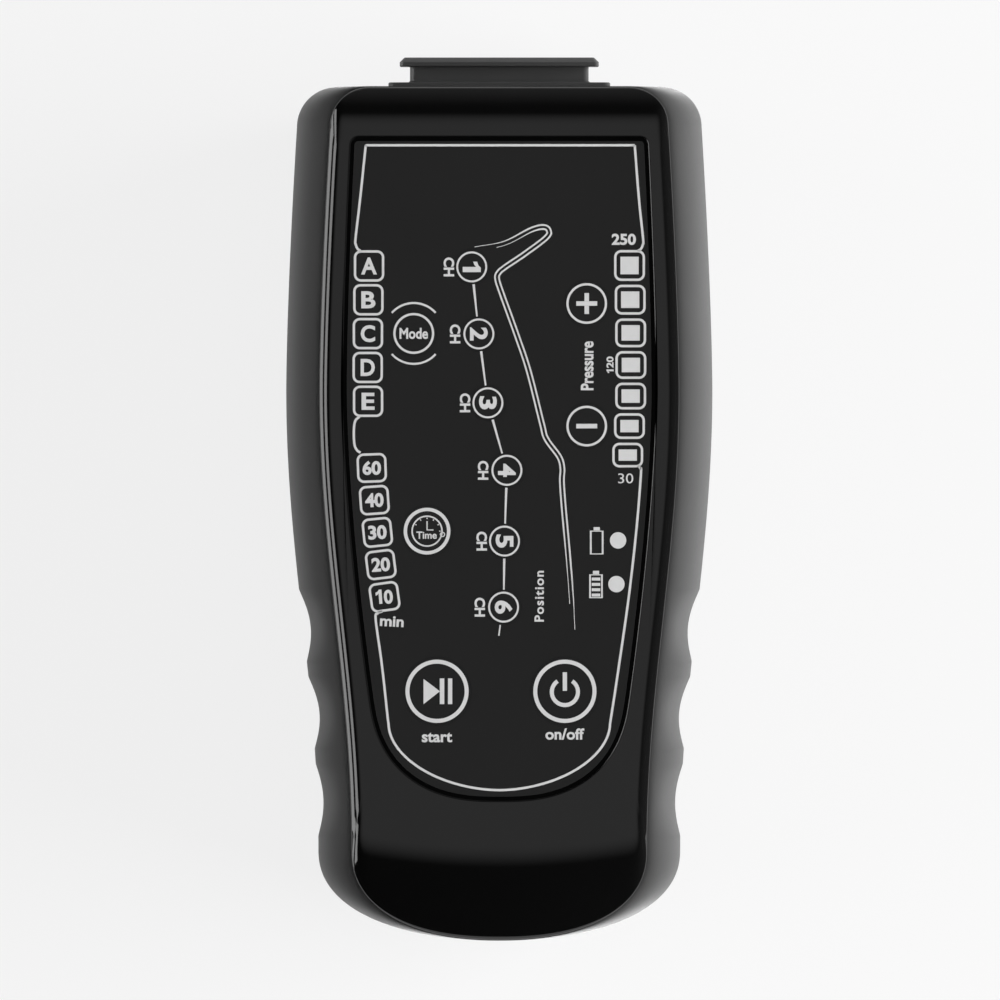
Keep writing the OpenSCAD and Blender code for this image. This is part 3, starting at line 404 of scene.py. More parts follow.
def soft_touch(name):
    """Soft-touch plastic: near black face on, and paler towards its edges, where its sheen shows."""
    finish = Finish(name, {"Specular IOR Level": 0.06, "Sheen Weight": 0.25, "Sheen Roughness": 0.35,
                           "Sheen Tint": grey(1.0)})
    cloud = finish.noise(CLOUD_MM, detail=3)
    finish.vary("Base Color", finish.blend(cloud, grey(0.0223), grey(0.0257)))
    grained(finish, grain_mm=0.3, grain_depth=0.02, middle=0.56)
    return finish.material


shell_plastic = soft_touch("shell_plastic")
dress(rear_shell, shell_plastic)
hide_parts("rear_shell")

# ---- Screw columns ----
# Six hollow columns stand on the floor of the tub. A case screw's head sits deep inside each one,
# and the column's upper end meets the cover's boss.

COLUMN_R = 4.2
COLUMN_LENGTH = 21.2
COLUMN_TOP = BACK + COLUMN_LENGTH
SEAT_T = 2
SEAT = COLUMN_TOP - SEAT_T
SCREW_HOLE_R = 1.7
column = [(HEAD_HOLE_R, BACK + 0.25), (HEAD_HOLE_R + 0.05, BACK + 0.6), (COLUMN_R, BACK + 1.6),
          (COLUMN_R, COLUMN_TOP), (SCREW_HOLE_R, COLUMN_TOP), (SCREW_HOLE_R, SEAT), (HEAD_HOLE_R, SEAT)]
columns = piece("screw_columns", [turned(column, (x, y, 0), joined=True) for x, y in CASE_SCREWS])
dress(columns, shell_plastic)

# ---- Front cover ----
# The gloss black lid: a flat face with small round edges along the sides, a deeper rounding at the
# port's end and a long slope at the chin. The printed film lies in a shallow recess in its face.

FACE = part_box("front_cover")[1][2] / MM
RECESS_DEPTH = 0.5
RECESS_Z = FACE - RECESS_DEPTH
CEILING = FACE - RECESS_DEPTH - WALL
SEAM_GAP = 0.25
LIP_DOWN = 2.0
LIP_INSET = WALL + 0.3
LIP_INNER = LIP_INSET + 1.0
END_INSET = 0.2
SIDE_ROUND, TOP_ROUND, CHIN_ROUND = 2.5, 8.6, 20.0
SIDE_DROP, TOP_DROP, CHIN_DROP = 1.2, 3.2, 9.4
TOP_POWER, CHIN_POWER = 2.4, 2
TOP_FADE, CHIN_FADE, CHIN_FADE_Y = CORNER * 0.7, CHIN_LENGTH * 0.8, CHIN_Y + 4
CHIN_CROWN = 0.003
wall_y = outline(SHOULDER, END_INSET, END_INSET)[:, 1]
# the side edges' fall fades out towards both ends, where the ends' own falls take over
along_sides = 1 - smooth((wall_y - TOP + CORNER) / TOP_FADE) - smooth((CHIN_FADE_Y - wall_y) / CHIN_FADE)


def fall(x, y):
    """How far the face has fallen at a place: by a power of the distance from a straight line at the
    top end, and from a slightly curved one at the chin."""
    top_share = np.clip((y - TOP + END_INSET + TOP_ROUND) / TOP_ROUND, 0, 1)
    chin_share = np.clip((BOTTOM + END_INSET + CHIN_ROUND + CHIN_CROWN * x * x - y) / CHIN_ROUND, 0, 1)
    return TOP_DROP * top_share ** TOP_POWER + CHIN_DROP * chin_share ** CHIN_POWER


def cover_ring(f, wall=0.0, down=0.0):
    """An outline of the rounding, at a share f of the way from the wall to the flat face."""
    ring = outline(SHOULDER + wall + SIDE_ROUND * f, END_INSET + wall + TOP_ROUND * f,
                   END_INSET + wall + CHIN_ROUND * f, roundness=CHIN_ROUNDNESS + 2 * f,
                   corner=CORNER - wall / 2 - 2 * f)
    side_fall = SIDE_DROP * along_sides * (1 - f) ** 2
    return at_height(ring, FACE - down - side_fall - fall(*ring.T))


def wall_ring(wall, above_seam):
    """An outline of the cover's upright wall."""
    ring = outline(SHOULDER + wall, END_INSET + wall, END_INSET + wall, corner=CORNER - wall / 2)
    return at_height(ring, seam_height(ring[:, 1]) + above_seam)


RECESS_TOP = TOP - 10.8
RECESS_BOTTOM = BOTTOM + 29.6
RECESS_END = RECESS_BOTTOM + 21.3
RECESS_HALF = 32.9
RECESS_CORNER = 1.7
RECESS_ROUNDNESS = 2.6
RECESS_UP, RECESS_UP_LENGTH, RECESS_UP_POWER = 1.5, 48.5, 1.5
RECESS_DOWN, RECESS_DOWN_LENGTH, RECESS_DOWN_POWER = 5.7, 65.4, 1.6


def recess_half(y):
    """Half width of the recess above its round end: power curves up and down from the widest place."""
    up = np.clip((y - WIDEST_Y) / RECESS_UP_LENGTH, 0, None) ** RECESS_UP_POWER
    down = np.clip((WIDEST_Y - y) / RECESS_DOWN_LENGTH, 0, None) ** RECESS_DOWN_POWER
    return RECESS_HALF - RECESS_UP * up - RECESS_DOWN * down


def recess_outline():
    """The recess from the front, with as many points as the casing's outline."""
    turn = np.radians(np.linspace(90, 0, CORNER_STEPS, endpoint=False))
    y_corner = RECESS_TOP - RECESS_CORNER
    centre = recess_half(y_corner) - RECESS_CORNER
    edge = np.linspace(0, centre, EDGE_STEPS, endpoint=False)
    side = np.linspace(y_corner, RECESS_END, UPPER_STEPS + LOWER_STEPS, endpoint=False)
    end = np.radians(np.linspace(0, 90, CHIN_STEPS))
    y_end = RECESS_END - (RECESS_END - RECESS_BOTTOM) * np.sin(end) ** (2 / RECESS_ROUNDNESS)
    half = np.vstack([
        np.column_stack([edge, np.full_like(edge, RECESS_TOP)]),
        np.column_stack([centre + RECESS_CORNER * np.cos(turn), y_corner + RECESS_CORNER * np.sin(turn)]),
        np.column_stack([recess_half(side), side]),
        np.column_stack([recess_half(y_end) * np.cos(end).clip(0) ** (2 / RECESS_ROUNDNESS), y_end]),
    ])
    return both_halves(half)


def shrink(ring, distance):
    """An outline moved inwards along its normals, which are square to the line between neighbours."""
    along = np.roll(ring, -1, 0) - np.roll(ring, 1, 0)
    inwards = np.column_stack([along[:, 1], -along[:, 0]])
    return ring + distance * inwards / np.linalg.norm(inwards, axis=1)[:, None]


recess = recess_outline()
# across the ceiling and down the lip, up the outside with a small round edge at the seam, and in
# over the face to the recess
inside = [cover_ring(f, WALL, FACE - CEILING) for f in (1, 0.6, 0.25)]
inside += [cover_ring(0, LIP_INNER, FACE - CEILING), wall_ring(LIP_INNER, -LIP_DOWN),
           wall_ring(LIP_INSET, -LIP_DOWN), wall_ring(LIP_INSET, SEAM_GAP)]
outside = [wall_ring(0.12, SEAM_GAP), wall_ring(0.02, SEAM_GAP + 0.06), wall_ring(0, SEAM_GAP + 0.2)]
outside += [cover_ring(0, down=0.15), cover_ring(0.01, down=0.04)]
outside += [cover_ring(f) for f in np.linspace(0.04, 1, 27)]
# the recess's rounded edge, and the channel round the film, as pairs of inset and depth
RECESS_EDGE = ((-0.46, 0), (-0.4, 0), (-0.28, 0.012), (-0.17, 0.05), (-0.08, 0.12), (-0.02, 0.22),
               (0, 0.34))
CHANNEL = ((0, 0.8), (0.06, 1.05), (0.2, 1.26), (0.4, 1.34), (0.6, 1.26), (0.74, 1.05), (0.8, 0.8),
           (0.8, RECESS_DEPTH))
face = [at_height(shrink(recess, inset), FACE - depth) for inset, depth in RECESS_EDGE + CHANNEL]
front_cover = piece("front_cover_moulding", [skin(inside + outside + face)])

KEY_NAMES = ["start", "power", "mode", "time", "pressure_up", "pressure_down"]
KEY_NAMES += [f"chamber_{i}" for i in range(1, 7)]
KEY_FLANGE = 0.8
FLANGE_PLAY = 0.1
FLANGE_T = 1.0
KEY_GAP = 0.15
KEYS = {}
for key_name in KEY_NAMES:
    key_low, key_high = (np.array(corner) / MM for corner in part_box(f"key_{key_name}"))
    middle = (key_low + key_high) / 2
    KEYS[key_name] = (middle[0], middle[1], (key_high[0] - key_low[0]) / 2 - KEY_FLANGE)
KEY_FOOT = CEILING - FLANGE_PLAY - FLANGE_T
FILM_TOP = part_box("overlay_film")[1][2] / MM
cut(front_cover, [drum(x, y, CEILING - 1, FACE + 1, r + KEY_GAP, n=96) for x, y, r in KEYS.values()])


def glossy(name, colour, roughness):
    """Polished plastic: very fine waves in the gloss, and a faint haze of handling."""
    finish = Finish(name, {"Base Color": colour, "Specular IOR Level": 0.5})
    haze = finish.noise(features_mm=9, detail=4)
    finish.vary("Roughness", haze * haze * 0.08 + roughness)
    finish.bump(finish.noise(features_mm=5, detail=1), depth_mm=0.0012)
    return finish.material


cover_gloss = glossy("cover_gloss", grey(0.003), 0.05)
dress(front_cover, cover_gloss)
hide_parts("front_cover")

# ---- Overlay film ----
# A matte black polyester film, printed in light grey, laid in the recess with a small gap round
# its edge. It is cut round every key here, because each key moves by itself.

FILM_GAP = 0.8
FILM_BEVEL = 0.06
film_edge = shrink(recess, FILM_GAP)
film = piece("overlay_film_sheet", [skin([
    at_height(film_edge, RECESS_Z + 0.01), at_height(film_edge, FILM_TOP - FILM_BEVEL),
    at_height(shrink(recess, FILM_GAP + FILM_BEVEL), FILM_TOP)])])
cut(film, [drum(x, y, RECESS_Z - 1, FACE + 1, r + KEY_GAP, n=96) for x, y, r in KEYS.values()])


def matte_film(name):
    """Printed film: a very fine matt lacquer with a slight unevenness."""
    finish = Finish(name, {"Specular IOR Level": 0.2})
    cloud = finish.noise(features_mm=30, detail=2)
    finish.vary("Base Color", finish.blend(cloud, grey(0.0105), grey(0.0123)))
    grain = finish.noise(features_mm=0.12, detail=2)
    finish.vary("Roughness", grain * 0.1 + 0.5)
    finish.bump(grain, depth_mm=0.003)
    return finish.material


film_black = matte_film("film_black")
dress(film, film_black)
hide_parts("overlay_film")

# ---- Keys ----
# Twelve keys in the cover, level with the film and skinned with the same printed film. A flange
# under the cover keeps each one in, and its stem stands on a push switch.

KEY_CLEARANCE = 0.05
KEY_BEVEL = 0.03
FLANGE_TOP = KEY_FOOT + FLANGE_T
STEM_R = 1.75
STEM_LENGTH = 0.6


def key_skin(x, y, radius):
    """A key as one turned profile: stem, flange, shaft, and a rounded upper edge."""
    shaft = radius + KEY_GAP - KEY_CLEARANCE
    profile = [(STEM_R, KEY_FOOT - STEM_LENGTH), (STEM_R, KEY_FOOT), (radius + KEY_FLANGE, KEY_FOOT),
               (radius + KEY_FLANGE, FLANGE_TOP), (radius, FLANGE_TOP), (radius, RECESS_Z - 0.05),
               (shaft, RECESS_Z + 0.02), (shaft, FILM_TOP - KEY_BEVEL), (shaft - KEY_BEVEL, FILM_TOP)]
    return turned(profile, (x, y, 0), n=128)


for key_name, (x, y, radius) in KEYS.items():
    key = piece(f"{key_name}_key_cap", [key_skin(x, y, radius)])
    dress(key, film_black, f"{key_name}_button")
    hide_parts(f"key_{key_name}")

# ---- Print on the keys ----
# The rings, signs and numbers screen-printed on each key in light grey ink, as thin raised ink.

INK = 0.02
INK_Z = FILM_TOP


def stroke(path, width, closed=False):
    """A line of ink along a path: four rows of points carried along it, square to its direction."""
    path = np.asarray(path, float)
    if closed:
        along = np.roll(path, -1, 0) - np.roll(path, 1, 0)
    else:
        along = np.gradient(path, axis=0)
    across = np.column_stack([along[:, 1], -along[:, 0]]) / np.linalg.norm(along, axis=1)[:, None]
    half = across * np.broadcast_to(np.asarray(width, float) / 2, len(path))[:, None]
    rows = [at_height(path + side * half, z) for side, z in
            ((1, INK_Z), (1, INK_Z + INK), (-1, INK_Z + INK), (-1, INK_Z))]
    return skin(np.stack(rows, 1), joined=closed)


def patch(points):
    """A filled area of ink inside a closed outline."""
    points = np.asarray(points, float)
    return skin([at_height(points, INK_Z), at_height(points, INK_Z + INK)])


def arc(x, y, radius, start=0, end=360, n=64):
    """Points on a circle, in degrees from +X."""
    closed = abs(end - start) == 360
    a = np.radians(np.linspace(start, end, n, endpoint=not closed))
    return np.column_stack([x + radius * np.cos(a), y + radius * np.sin(a)])


def ring(x, y, outer, width):
    """A printed circle, by its outer radius."""
    return stroke(arc(x, y, outer - width / 2, n=96), width, closed=True)


def bar(x, y, width, height):
    """A filled rectangle of ink."""
    w, h = width / 2, height / 2
    return patch([(x - w, y - h), (x + w, y - h), (x + w, y + h), (x - w, y + h)])


def turn_matrix(degrees):
    """What turns rows of points anticlockwise, when they are multiplied by it."""
    a = math.radians(degrees)
    return np.array([[math.cos(a), math.sin(a)], [-math.sin(a), math.cos(a)]])


def words(text, x, y, length, height, turn=0, weight=0.0, spacing=1.0):
    """Lettering in ink, fitted to a length and a height, then turned about its middle."""
    curve = bpy.data.curves.new("words", "FONT")
    curve.body = text
    curve.extrude = 0.5
    curve.offset = weight
    curve.space_character = spacing
    curve.resolution_u = 4
    holder = bpy.data.objects.new("words", curve)
    bpy.context.scene.collection.objects.link(holder)
    graph = bpy.context.evaluated_depsgraph_get()
    mesh = bpy.data.meshes.new_from_object(holder.evaluated_get(graph))
    points = np.empty(len(mesh.vertices) * 3)
    mesh.vertices.foreach_get("co", points)
    points = points.reshape(-1, 3)
    faces = [list(face.vertices) for face in mesh.polygons]
    bpy.data.objects.remove(holder)
    low, high = points.min(0), points.max(0)
    flat = (points - (low + high) / 2) / (high - low) * [length, height, INK]
    placed = flat[:, :2] @ turn_matrix(turn) + [x, y]
    return np.column_stack([placed, flat[:, 2] + INK_Z + INK / 2]), faces


def numeral_one(x, y, length, height, turn=0, thick=0.5):
    """The figure 1, drawn: a stem that takes a share of the length, and a flag on its left."""
    left = 0.5 - thick
    shape = np.array([(left, 0.24), (left - 0.2, 0.14), (-0.5, 0.08), (-0.5, 0.3), (-0.15, 0.37),
                      (0.08, 0.5), (0.5, 0.5), (0.5, -0.5), (left, -0.5)])
    return patch(shape * [length, height] @ turn_matrix(turn) + [x, y])


def ink(name):
    """Screen ink: light grey, satin, with a little variation in its cover."""
    finish = Finish(name, {"Specular IOR Level": 0.4})
    cloud = finish.noise(features_mm=1.2, detail=3)
    finish.vary("Base Color", finish.blend(cloud, grey(0.58), grey(0.63)))
    finish.vary("Roughness", cloud * 0.1 + 0.4)
    return finish.material


grey_ink = ink("grey_ink")

# the signs are drawn in millimetres from each key's middle
THUMB_RING = {"outer": 6.65, "width": 0.84}
FINGER_RING_WIDE = 0.47
x, y, _ = KEYS["start"]
print_on = {"start": [ring(x, y, **THUMB_RING),
                      patch([(x - 2.85, y + 2.6), (x + 0.6, y), (x - 2.85, y - 2.7)]),
                      bar(x + 1.05, y, 0.95, 5.4), bar(x + 2.75, y, 0.9, 5.4)]}
x, y, _ = KEYS["power"]
print_on["power"] = [ring(x, y, **THUMB_RING),
                     stroke(arc(x, y - 0.15, 2.75, 124, 416), 0.85), bar(x, y + 2.05, 0.9, 3.9)]
x, y, _ = KEYS["mode"]
print_on["mode"] = [ring(x, y, 4.3, FINGER_RING_WIDE), words("Mode", x, y, 6.0, 2.35, weight=0.028)]
x, y, _ = KEYS["time"]
ticks = [stroke([(x + 2.55 * math.sin(a), y + 2.55 * math.cos(a)),
                 (x + 2.85 * math.sin(a), y + 2.85 * math.cos(a))], 0.22)
         for a in np.radians(range(-60, 91, 30))]
print_on["time"] = [ring(x, y, 4.92, 0.72), ring(x, y, 3.3, 0.32),
                    words("Time", x - 0.1, y - 0.85, 4.3, 1.55, weight=0.025),
                    stroke([(x, y + 2.1), (x, y + 0.25), (x + 1.35, y + 0.25)], 0.28),
                    ring(x + 3.25, y - 0.7, 0.55, 0.22)] + ticks
for key_name, upright in (("pressure_up", True), ("pressure_down", False)):
    x, y, _ = KEYS[key_name]
    print_on[key_name] = [ring(x, y, 4.28, FINGER_RING_WIDE), bar(x, y, 4.4, 0.95)]
    if upright:
        print_on[key_name] += [bar(x, y + 1.35, 0.95, 1.7), bar(x, y - 1.35, 0.95, 1.7)]
# the figures of the chambers lie on their sides, with their tops to the right
for i in range(1, 7):
    x, y, _ = KEYS[f"chamber_{i}"]
    if i == 1:
        figure = numeral_one(x, y, 2.2, 3.8, -90)
    else:
        figure = words(str(i), x, y, 2.8, 3.75, -90, 0.032)
    print_on[f"chamber_{i}"] = [ring(x, y, 3.25, 0.4), figure]
for key_name, parts in print_on.items():
    print_piece = piece(f"{key_name}_key_print", parts)
    dress(print_piece, grey_ink, f"{key_name}_button")

# ---- Print on the film ----
# The same ink on the fixed part of the film: the frame line, the badges in front of the lamps, the
# words beside the keys and the outline of a leg, on which the chamber keys show the air chambers.

LINE = 0.5
BADGE_CORNER = 1.25
STEPS_BETWEEN = 14


def badge(x, y, width, height, tilt=0.0):
    """A rounded square of line, turned by a tilt in degrees."""
    path = rounded((width - LINE) / 2, (height - LINE) / 2, BADGE_CORNER, 9)
    return stroke(path @ turn_matrix(tilt) + [x, y], LINE, closed=True)


def through(points):
    """A smooth curve through points: Catmull-Rom, a cubic between neighbours."""
    p = np.array(points, float)
    p = np.vstack([2 * p[0] - p[1], p, 2 * p[-1] - p[-2]])
    a, b, c, d = p[:-3, None], p[1:-2, None], p[2:-1, None], p[3:, None]
    t = np.linspace(0, 1, STEPS_BETWEEN, endpoint=False)[None, :, None]
    curve = (2 * b + (c - a) * t + (2 * a - 5 * b + 4 * c - d) * t ** 2
             + (3 * b - a - 3 * c + d) * t ** 3) / 2
    return np.vstack([curve.reshape(-1, 2), p[-2]])


FIRST_MODE = RECESS_TOP - 27.1
FIRST_TIME = RECESS_TOP - 69.6
FIRST_PRESSURE = RECESS_TOP - 27
MODE_PITCH, TIME_PITCH, PRESSURE_PITCH = 7.12, 6.78, 7.2
BADGE_EDGE = 4.9
BADGE_LEAN = 0.0125
MODE_LETTERS = (("A", 3.35), ("B", 3.0), ("C", 3.05), ("D", 3.0), ("E", 2.75))
MINUTES_TILTS = ((60, 2), (40, 4), (30, 6), (20, 7), (10, 8))
PRESSURE_HEIGHT = 6.5
PRESSURE_SHRINK = 0.22


def badge_x(y):
    """Distance of a badge from the centre line."""
    return recess_half(y) - BADGE_EDGE - BADGE_LEAN * (FIRST_MODE - y)


film_print = []
for i, (letter, letter_wide) in enumerate(MODE_LETTERS):
    y = FIRST_MODE - MODE_PITCH * i
    x = -badge_x(y)
    film_print += [badge(x, y, 6.4, 6.6), words(letter, x, y, letter_wide, 3.6, weight=0.03)]
for i, (minutes, tilt) in enumerate(MINUTES_TILTS):
    y = FIRST_TIME - TIME_PITCH * i
    x = -badge_x(y)
    film_print.append(badge(x, y, 6.3, 6.2, tilt))
    if minutes == 10:
        film_print.append(numeral_one(x - 1.2, y, 1.3, 3.0, tilt / 2))
        film_print.append(words("0", x + 0.8, y, 1.9, 3.0, tilt / 2, 0.035))
    else:
        film_print.append(words(str(minutes), x, y, 3.9, 3.0, tilt / 2, 0.038))
# each pressure badge is a little less high than the one above, and the gaps stay alike
for i in range(7):
    y = FIRST_PRESSURE - PRESSURE_PITCH * i + i * (i - 1) / 2 * PRESSURE_SHRINK
    x = badge_x(y)
    height = PRESSURE_HEIGHT - PRESSURE_SHRINK * i
    film_print += [badge(x, y, 6.5, height), bar(x, y, 3.85, height - 2.8)]

# a pair of arcs, above and below the mode key
x, y, _ = KEYS["mode"]
for shift, start, end in ((0.2, 42, 138), (-0.2, 222, 318)):
    film_print.append(stroke(arc(x, y + shift, 6.2, start, end), 0.42))

# the frame line, in places read off the photograph: four strokes that end at the rows of badges.
# They go across the top and down the left, down the right, between the left rows, and round the
# lower end from right to left.
TOP_RIGHT, TOP_LEFT = (28.5, 74.4), (-28.1, 74.4)
left_upper = through([TOP_LEFT, (-29.3, 63.0), (-30.25, 54.8), (-30.2, 53.5), (-29.8, 52.6),
                      (-29.2, 52.2)])
right_upper = through([TOP_RIGHT, (29.4, 63.0), (30.25, 54.8), (30.2, 53.5), (29.8, 52.6), (29.2, 52.2)])
left_middle = through([(-29.4, 17.3), (-30.3, 16.4), (-30.6, 14.5), (-30.5, 11.6), (-30.0, 10.3),
                       (-29.2, 9.7)])
right_lower = through([(29.2, 6.95), (29.65, 6.4), (29.8, 5.2), (28.9, -6.0), (27.2, -21.0),
                       (24.6, -39.0), (23.45, -46.4)])
left_lower = through([(-23.45, -46.4), (-24.7, -35.0), (-26.0, -25.5), (-25.6, -24.1), (-24.6, -23.7)])
END_HALF, END_Y, END_DEPTH, END_ROUNDNESS = 23.3, -47.4, 13.9, 1.88
end_angle = np.radians(np.linspace(0, 180, 73))
end_x = np.sign(np.cos(end_angle)) * np.abs(np.cos(end_angle)) ** (2 / END_ROUNDNESS)
end_fall = np.sin(end_angle).clip(0) ** (2 / END_ROUNDNESS)
lower_end = np.column_stack([END_HALF * end_x, END_Y - END_DEPTH * end_fall])
for path in (np.vstack([[TOP_RIGHT, TOP_LEFT], left_upper]), right_upper, left_middle,
             np.vstack([right_lower, lower_end, left_lower])):
    film_print.append(stroke(path, LINE))

film_print += [
    words("min", -22.6, -25.8, 5.0, 2.2, -3, 0.028),
    words("Pressure", 18.5, 28.0, 10.3, 2.7, 90, 0.028),
    numeral_one(23.3, 26.85, 0.75, 1.5, 90), words("20", 23.3, 28.75, 2.4, 1.5, 90, 0.03),
    words("250", 26.2, 54.6, 5.1, 2.4, 0, 0.035),
    words("30", 26.6, 4.3, 3.2, 2.1),
    words("Position", 8.4, -20.5, 10.7, 2.0, 90, 0.022, 1.15),
    words("start", -13.1, -50.2, 6.4, 2.1, 0, 0.028),
    words("on/off", 13.8, -49.5, 8.2, 2.4, 0, 0.028),
]
for i, x in enumerate((-10.6, -9.3, -7.2, -3.4, -3.7, -4.1)):
    film_print.append(words("CH", x, KEYS[f"chamber_{i + 1}"][1], 4.0, 2.25, -90, 0.035))

# battery signs: an empty cell and a cell with four bars, each beside a round lamp window
for i, (y, full) in enumerate(((-8.9, False), (-18.1, True))):
    x = 20.5 - 0.15 * i
    low_y, high_y, half = y - 2.7, y + 2.1, 1.25
    film_print += [stroke([(x - half, low_y), (x + half, low_y), (x + half, high_y), (x - half, high_y)],
                          0.42, closed=True),
                   bar(x, high_y + 0.5, 1.3, 0.7), patch(arc(25.0 - 0.35 * i, y + 0.15, 1.72))]
    if full:
        film_print += [bar(x, low_y + 0.55 + 1.12 * bar_step, 1.8, 0.62) for bar_step in range(4)]

# the leg: a double line from the toes round the heel and up the calf to the thigh
LEG_LINE = 0.36
leg_back = through([(-5.2, 53.0), (1.0, 54.2), (6.6, 57.0), (9.5, 57.6), (10.8, 56.6), (10.3, 54.8),
                    (5.6, 51.2), (1.6, 48.5), (0.2, 47.3), (0.0, 46.2), (0.9, 43.4), (4.1, 34.5),
                    (6.6, 27.0), (9.4, 15.9), (10.3, 12.8), (13.0, 9.0), (13.7, 6.4), (13.6, 3.6),
                    (14.0, -2.0), (14.9, -11.9), (15.6, -21.0), (15.9, -27.5)])
leg_inner = shrink(leg_back, 0.85)[10:-12]
for line in (leg_back, leg_inner):
    from_end = np.minimum(np.arange(len(line)), np.arange(len(line))[::-1])
    film_print.append(stroke(line, LEG_LINE * np.clip(from_end / 25, 0.35, 1)))

# the links from each chamber key to the next, and a short one below the last
LINK_START = 3.68
for i in range(1, 6):
    here, there = (np.array(KEYS[f"chamber_{number}"][:2]) for number in (i, i + 1))
    lean = (there - here) / math.hypot(*(there - here))
    link = np.linspace(here + lean * LINK_START, there - lean * LINK_START, 8)
    film_print.append(stroke(link, np.linspace(LINE, 0.34, 8)))
x, y, _ = KEYS["chamber_6"]
film_print.append(stroke([(x - 0.7, y - 3.75), (x - 1.0, y - 6.0)], 0.3))
film_ink = piece("film_print", film_print)
dress(film_ink, grey_ink)

# ---- Air port ----
# The hose plug's counterpart at the top end: a flange in the shell's window, a neck, and a lip
# with chamfered edges that the plug's latches hook behind. Six outlets open in its end.

PORT_END = cad_box[1][1] / MM
PLATE_Y = PORT_END - 11.5
NECK_HALF, NECK_DEPTH, NECK_CORNER = 18.85, 6.0, 1.2
LIP_HALF, LIP_DEPTH, LIP_T = 21.0, 7.0, 1.9
flange_end = TOP + 0.95
LIP_Y = PORT_END - LIP_T
# half width, half depth, corner radius and y of each ring, with the small edge radii worked in
port_rings = (
    (FLANGE_HALF, FLANGE_DEPTH, 1.4, PLATE_Y),
    (FLANGE_HALF, FLANGE_DEPTH, 1.4, flange_end - 0.3),
    (FLANGE_HALF - 0.1, FLANGE_DEPTH - 0.1, 1.4, flange_end - 0.1),
    (FLANGE_HALF - 0.3, FLANGE_DEPTH - 0.3, 1.3, flange_end),
    (NECK_HALF + 0.3, NECK_DEPTH + 0.3, NECK_CORNER, flange_end),
    (NECK_HALF, NECK_DEPTH, NECK_CORNER, flange_end + 0.3),
    (NECK_HALF, NECK_DEPTH, NECK_CORNER, LIP_Y - 0.15),
    (NECK_HALF + 0.15, NECK_DEPTH + 0.15, NECK_CORNER, LIP_Y),
    (LIP_HALF - 0.15, LIP_DEPTH - 0.15, 0.9, LIP_Y),
    (LIP_HALF, LIP_DEPTH, 1.0, LIP_Y + 0.15),
    (LIP_HALF, LIP_DEPTH, 1.0, PORT_END - 1.0),
    (LIP_HALF - 0.9, LIP_DEPTH - 0.9, 0.6, PORT_END - 0.1),
    (LIP_HALF - 1.1, LIP_DEPTH - 1.1, 0.5, PORT_END),
)
air_port = piece("air_port_block", [skin([slab_ring(*ring_sizes) for ring_sizes in port_rings])])
OUTLET_PITCH = 6.2
OUTLET_R = 2.2
BARB_HOLE_R = 0.95
OUTLET_FLOOR = PLATE_Y + 1.5
OUTLET_BEVEL = 0.35
outlet = [(BARB_HOLE_R, PLATE_Y - 1), (BARB_HOLE_R, OUTLET_FLOOR), (OUTLET_R, OUTLET_FLOOR),
          (OUTLET_R, PORT_END - OUTLET_BEVEL), (OUTLET_R + OUTLET_BEVEL, PORT_END),
          (OUTLET_R + OUTLET_BEVEL, PORT_END + 1)]
outlets = [turned(outlet, ((i - 2.5) * OUTLET_PITCH, 0, PORT_Z), along="y") for i in range(6)]
cut(air_port, outlets, crease=30)
port_plastic = moulded("port_plastic", grey(0.042), 0.42, grain_mm=0.25, grain_depth=0.012)
dress(air_port, port_plastic)
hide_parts("air_port")

# ---- Rubber feet ----
# Four soft black feet, pressed into round seats in the back, with a rounded rim and a hollow face.

FOOT_T = 1.6
foot = [(FOOT_R, FOOT_T), (FOOT_R, 0.45), (FOOT_R - 0.12, 0.18), (FOOT_R - 0.4, 0.02), (FOOT_R - 0.9, 0),
        (FOOT_R - 1.6, 0.05), (1.2, 0.12)]
feet = piece("rubber_feet_turned", [turned(foot, (x, y, 0)) for x, y in FEET])
foot_rubber = moulded("foot_rubber", grey(0.012), 0.75, grain_mm=0.5, grain_depth=0.02)
dress(feet, foot_rubber)
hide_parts("rubber_feet")

# ---- Case screws ----
# Six pan-head screws with a cross recess, zinc plated, deep in the columns.


def plated(name, colour, roughness):
    """Plated steel: bright, with fine turning marks and a mottled sheen."""
    finish = Finish(name, {"Metallic": 1.0})
    cloud = finish.noise(features_mm=2.5, detail=3)
    finish.vary("Base Color", finish.blend(cloud, shade(colour, 0.8), colour))
    finish.vary("Roughness", cloud * 0.15 + roughness)
    finish.bump(finish.noise(features_mm=0.2, detail=1), depth_mm=0.004)
    return finish.material


zinc = plated("zinc_plate", (0.6, 0.61, 0.63, 1.0), 0.25)
HEAD_R = 2.8
HEAD_RIM = 0.7
HEAD_DOME = 1.3
SCREW_R = 1.45
SCREW_LENGTH = 12
CROSS_LONG, CROSS_WIDE = 1.7, 0.35
CROSS_FLOOR = SEAT - 0.9
screw = [(SCREW_R, SEAT + SCREW_LENGTH), (SCREW_R, SEAT), (HEAD_R, SEAT)]
# the dome stops short of its middle, so that its last ring still has a radius
screw += [(HEAD_R * math.cos(a), SEAT - HEAD_RIM - HEAD_DOME * math.sin(a))
          for a in np.radians(range(0, 90, 10))]
case_screws = piece("case_screws_turned", [turned(screw, (x, y, 0), n=48) for x, y in CASE_SCREWS])
for w, h in ((CROSS_LONG, CROSS_WIDE), (CROSS_WIDE, CROSS_LONG)):
    blade = np.array([(-w, -h), (w, -h), (w, h), (-w, h)])
    cut(case_screws, [skin([at_height(blade + place, z) for z in (SEAT - 3, CROSS_FLOOR)])
                      for place in CASE_SCREWS])
dress(case_screws, zinc)
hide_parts("case_screws")

# ---- Charging jack ----
# The round socket in the bottom end: a black housing whose nose fills the hole in the wall. A
# plated sleeve covers its centre pin, and a spring contact lines the socket.

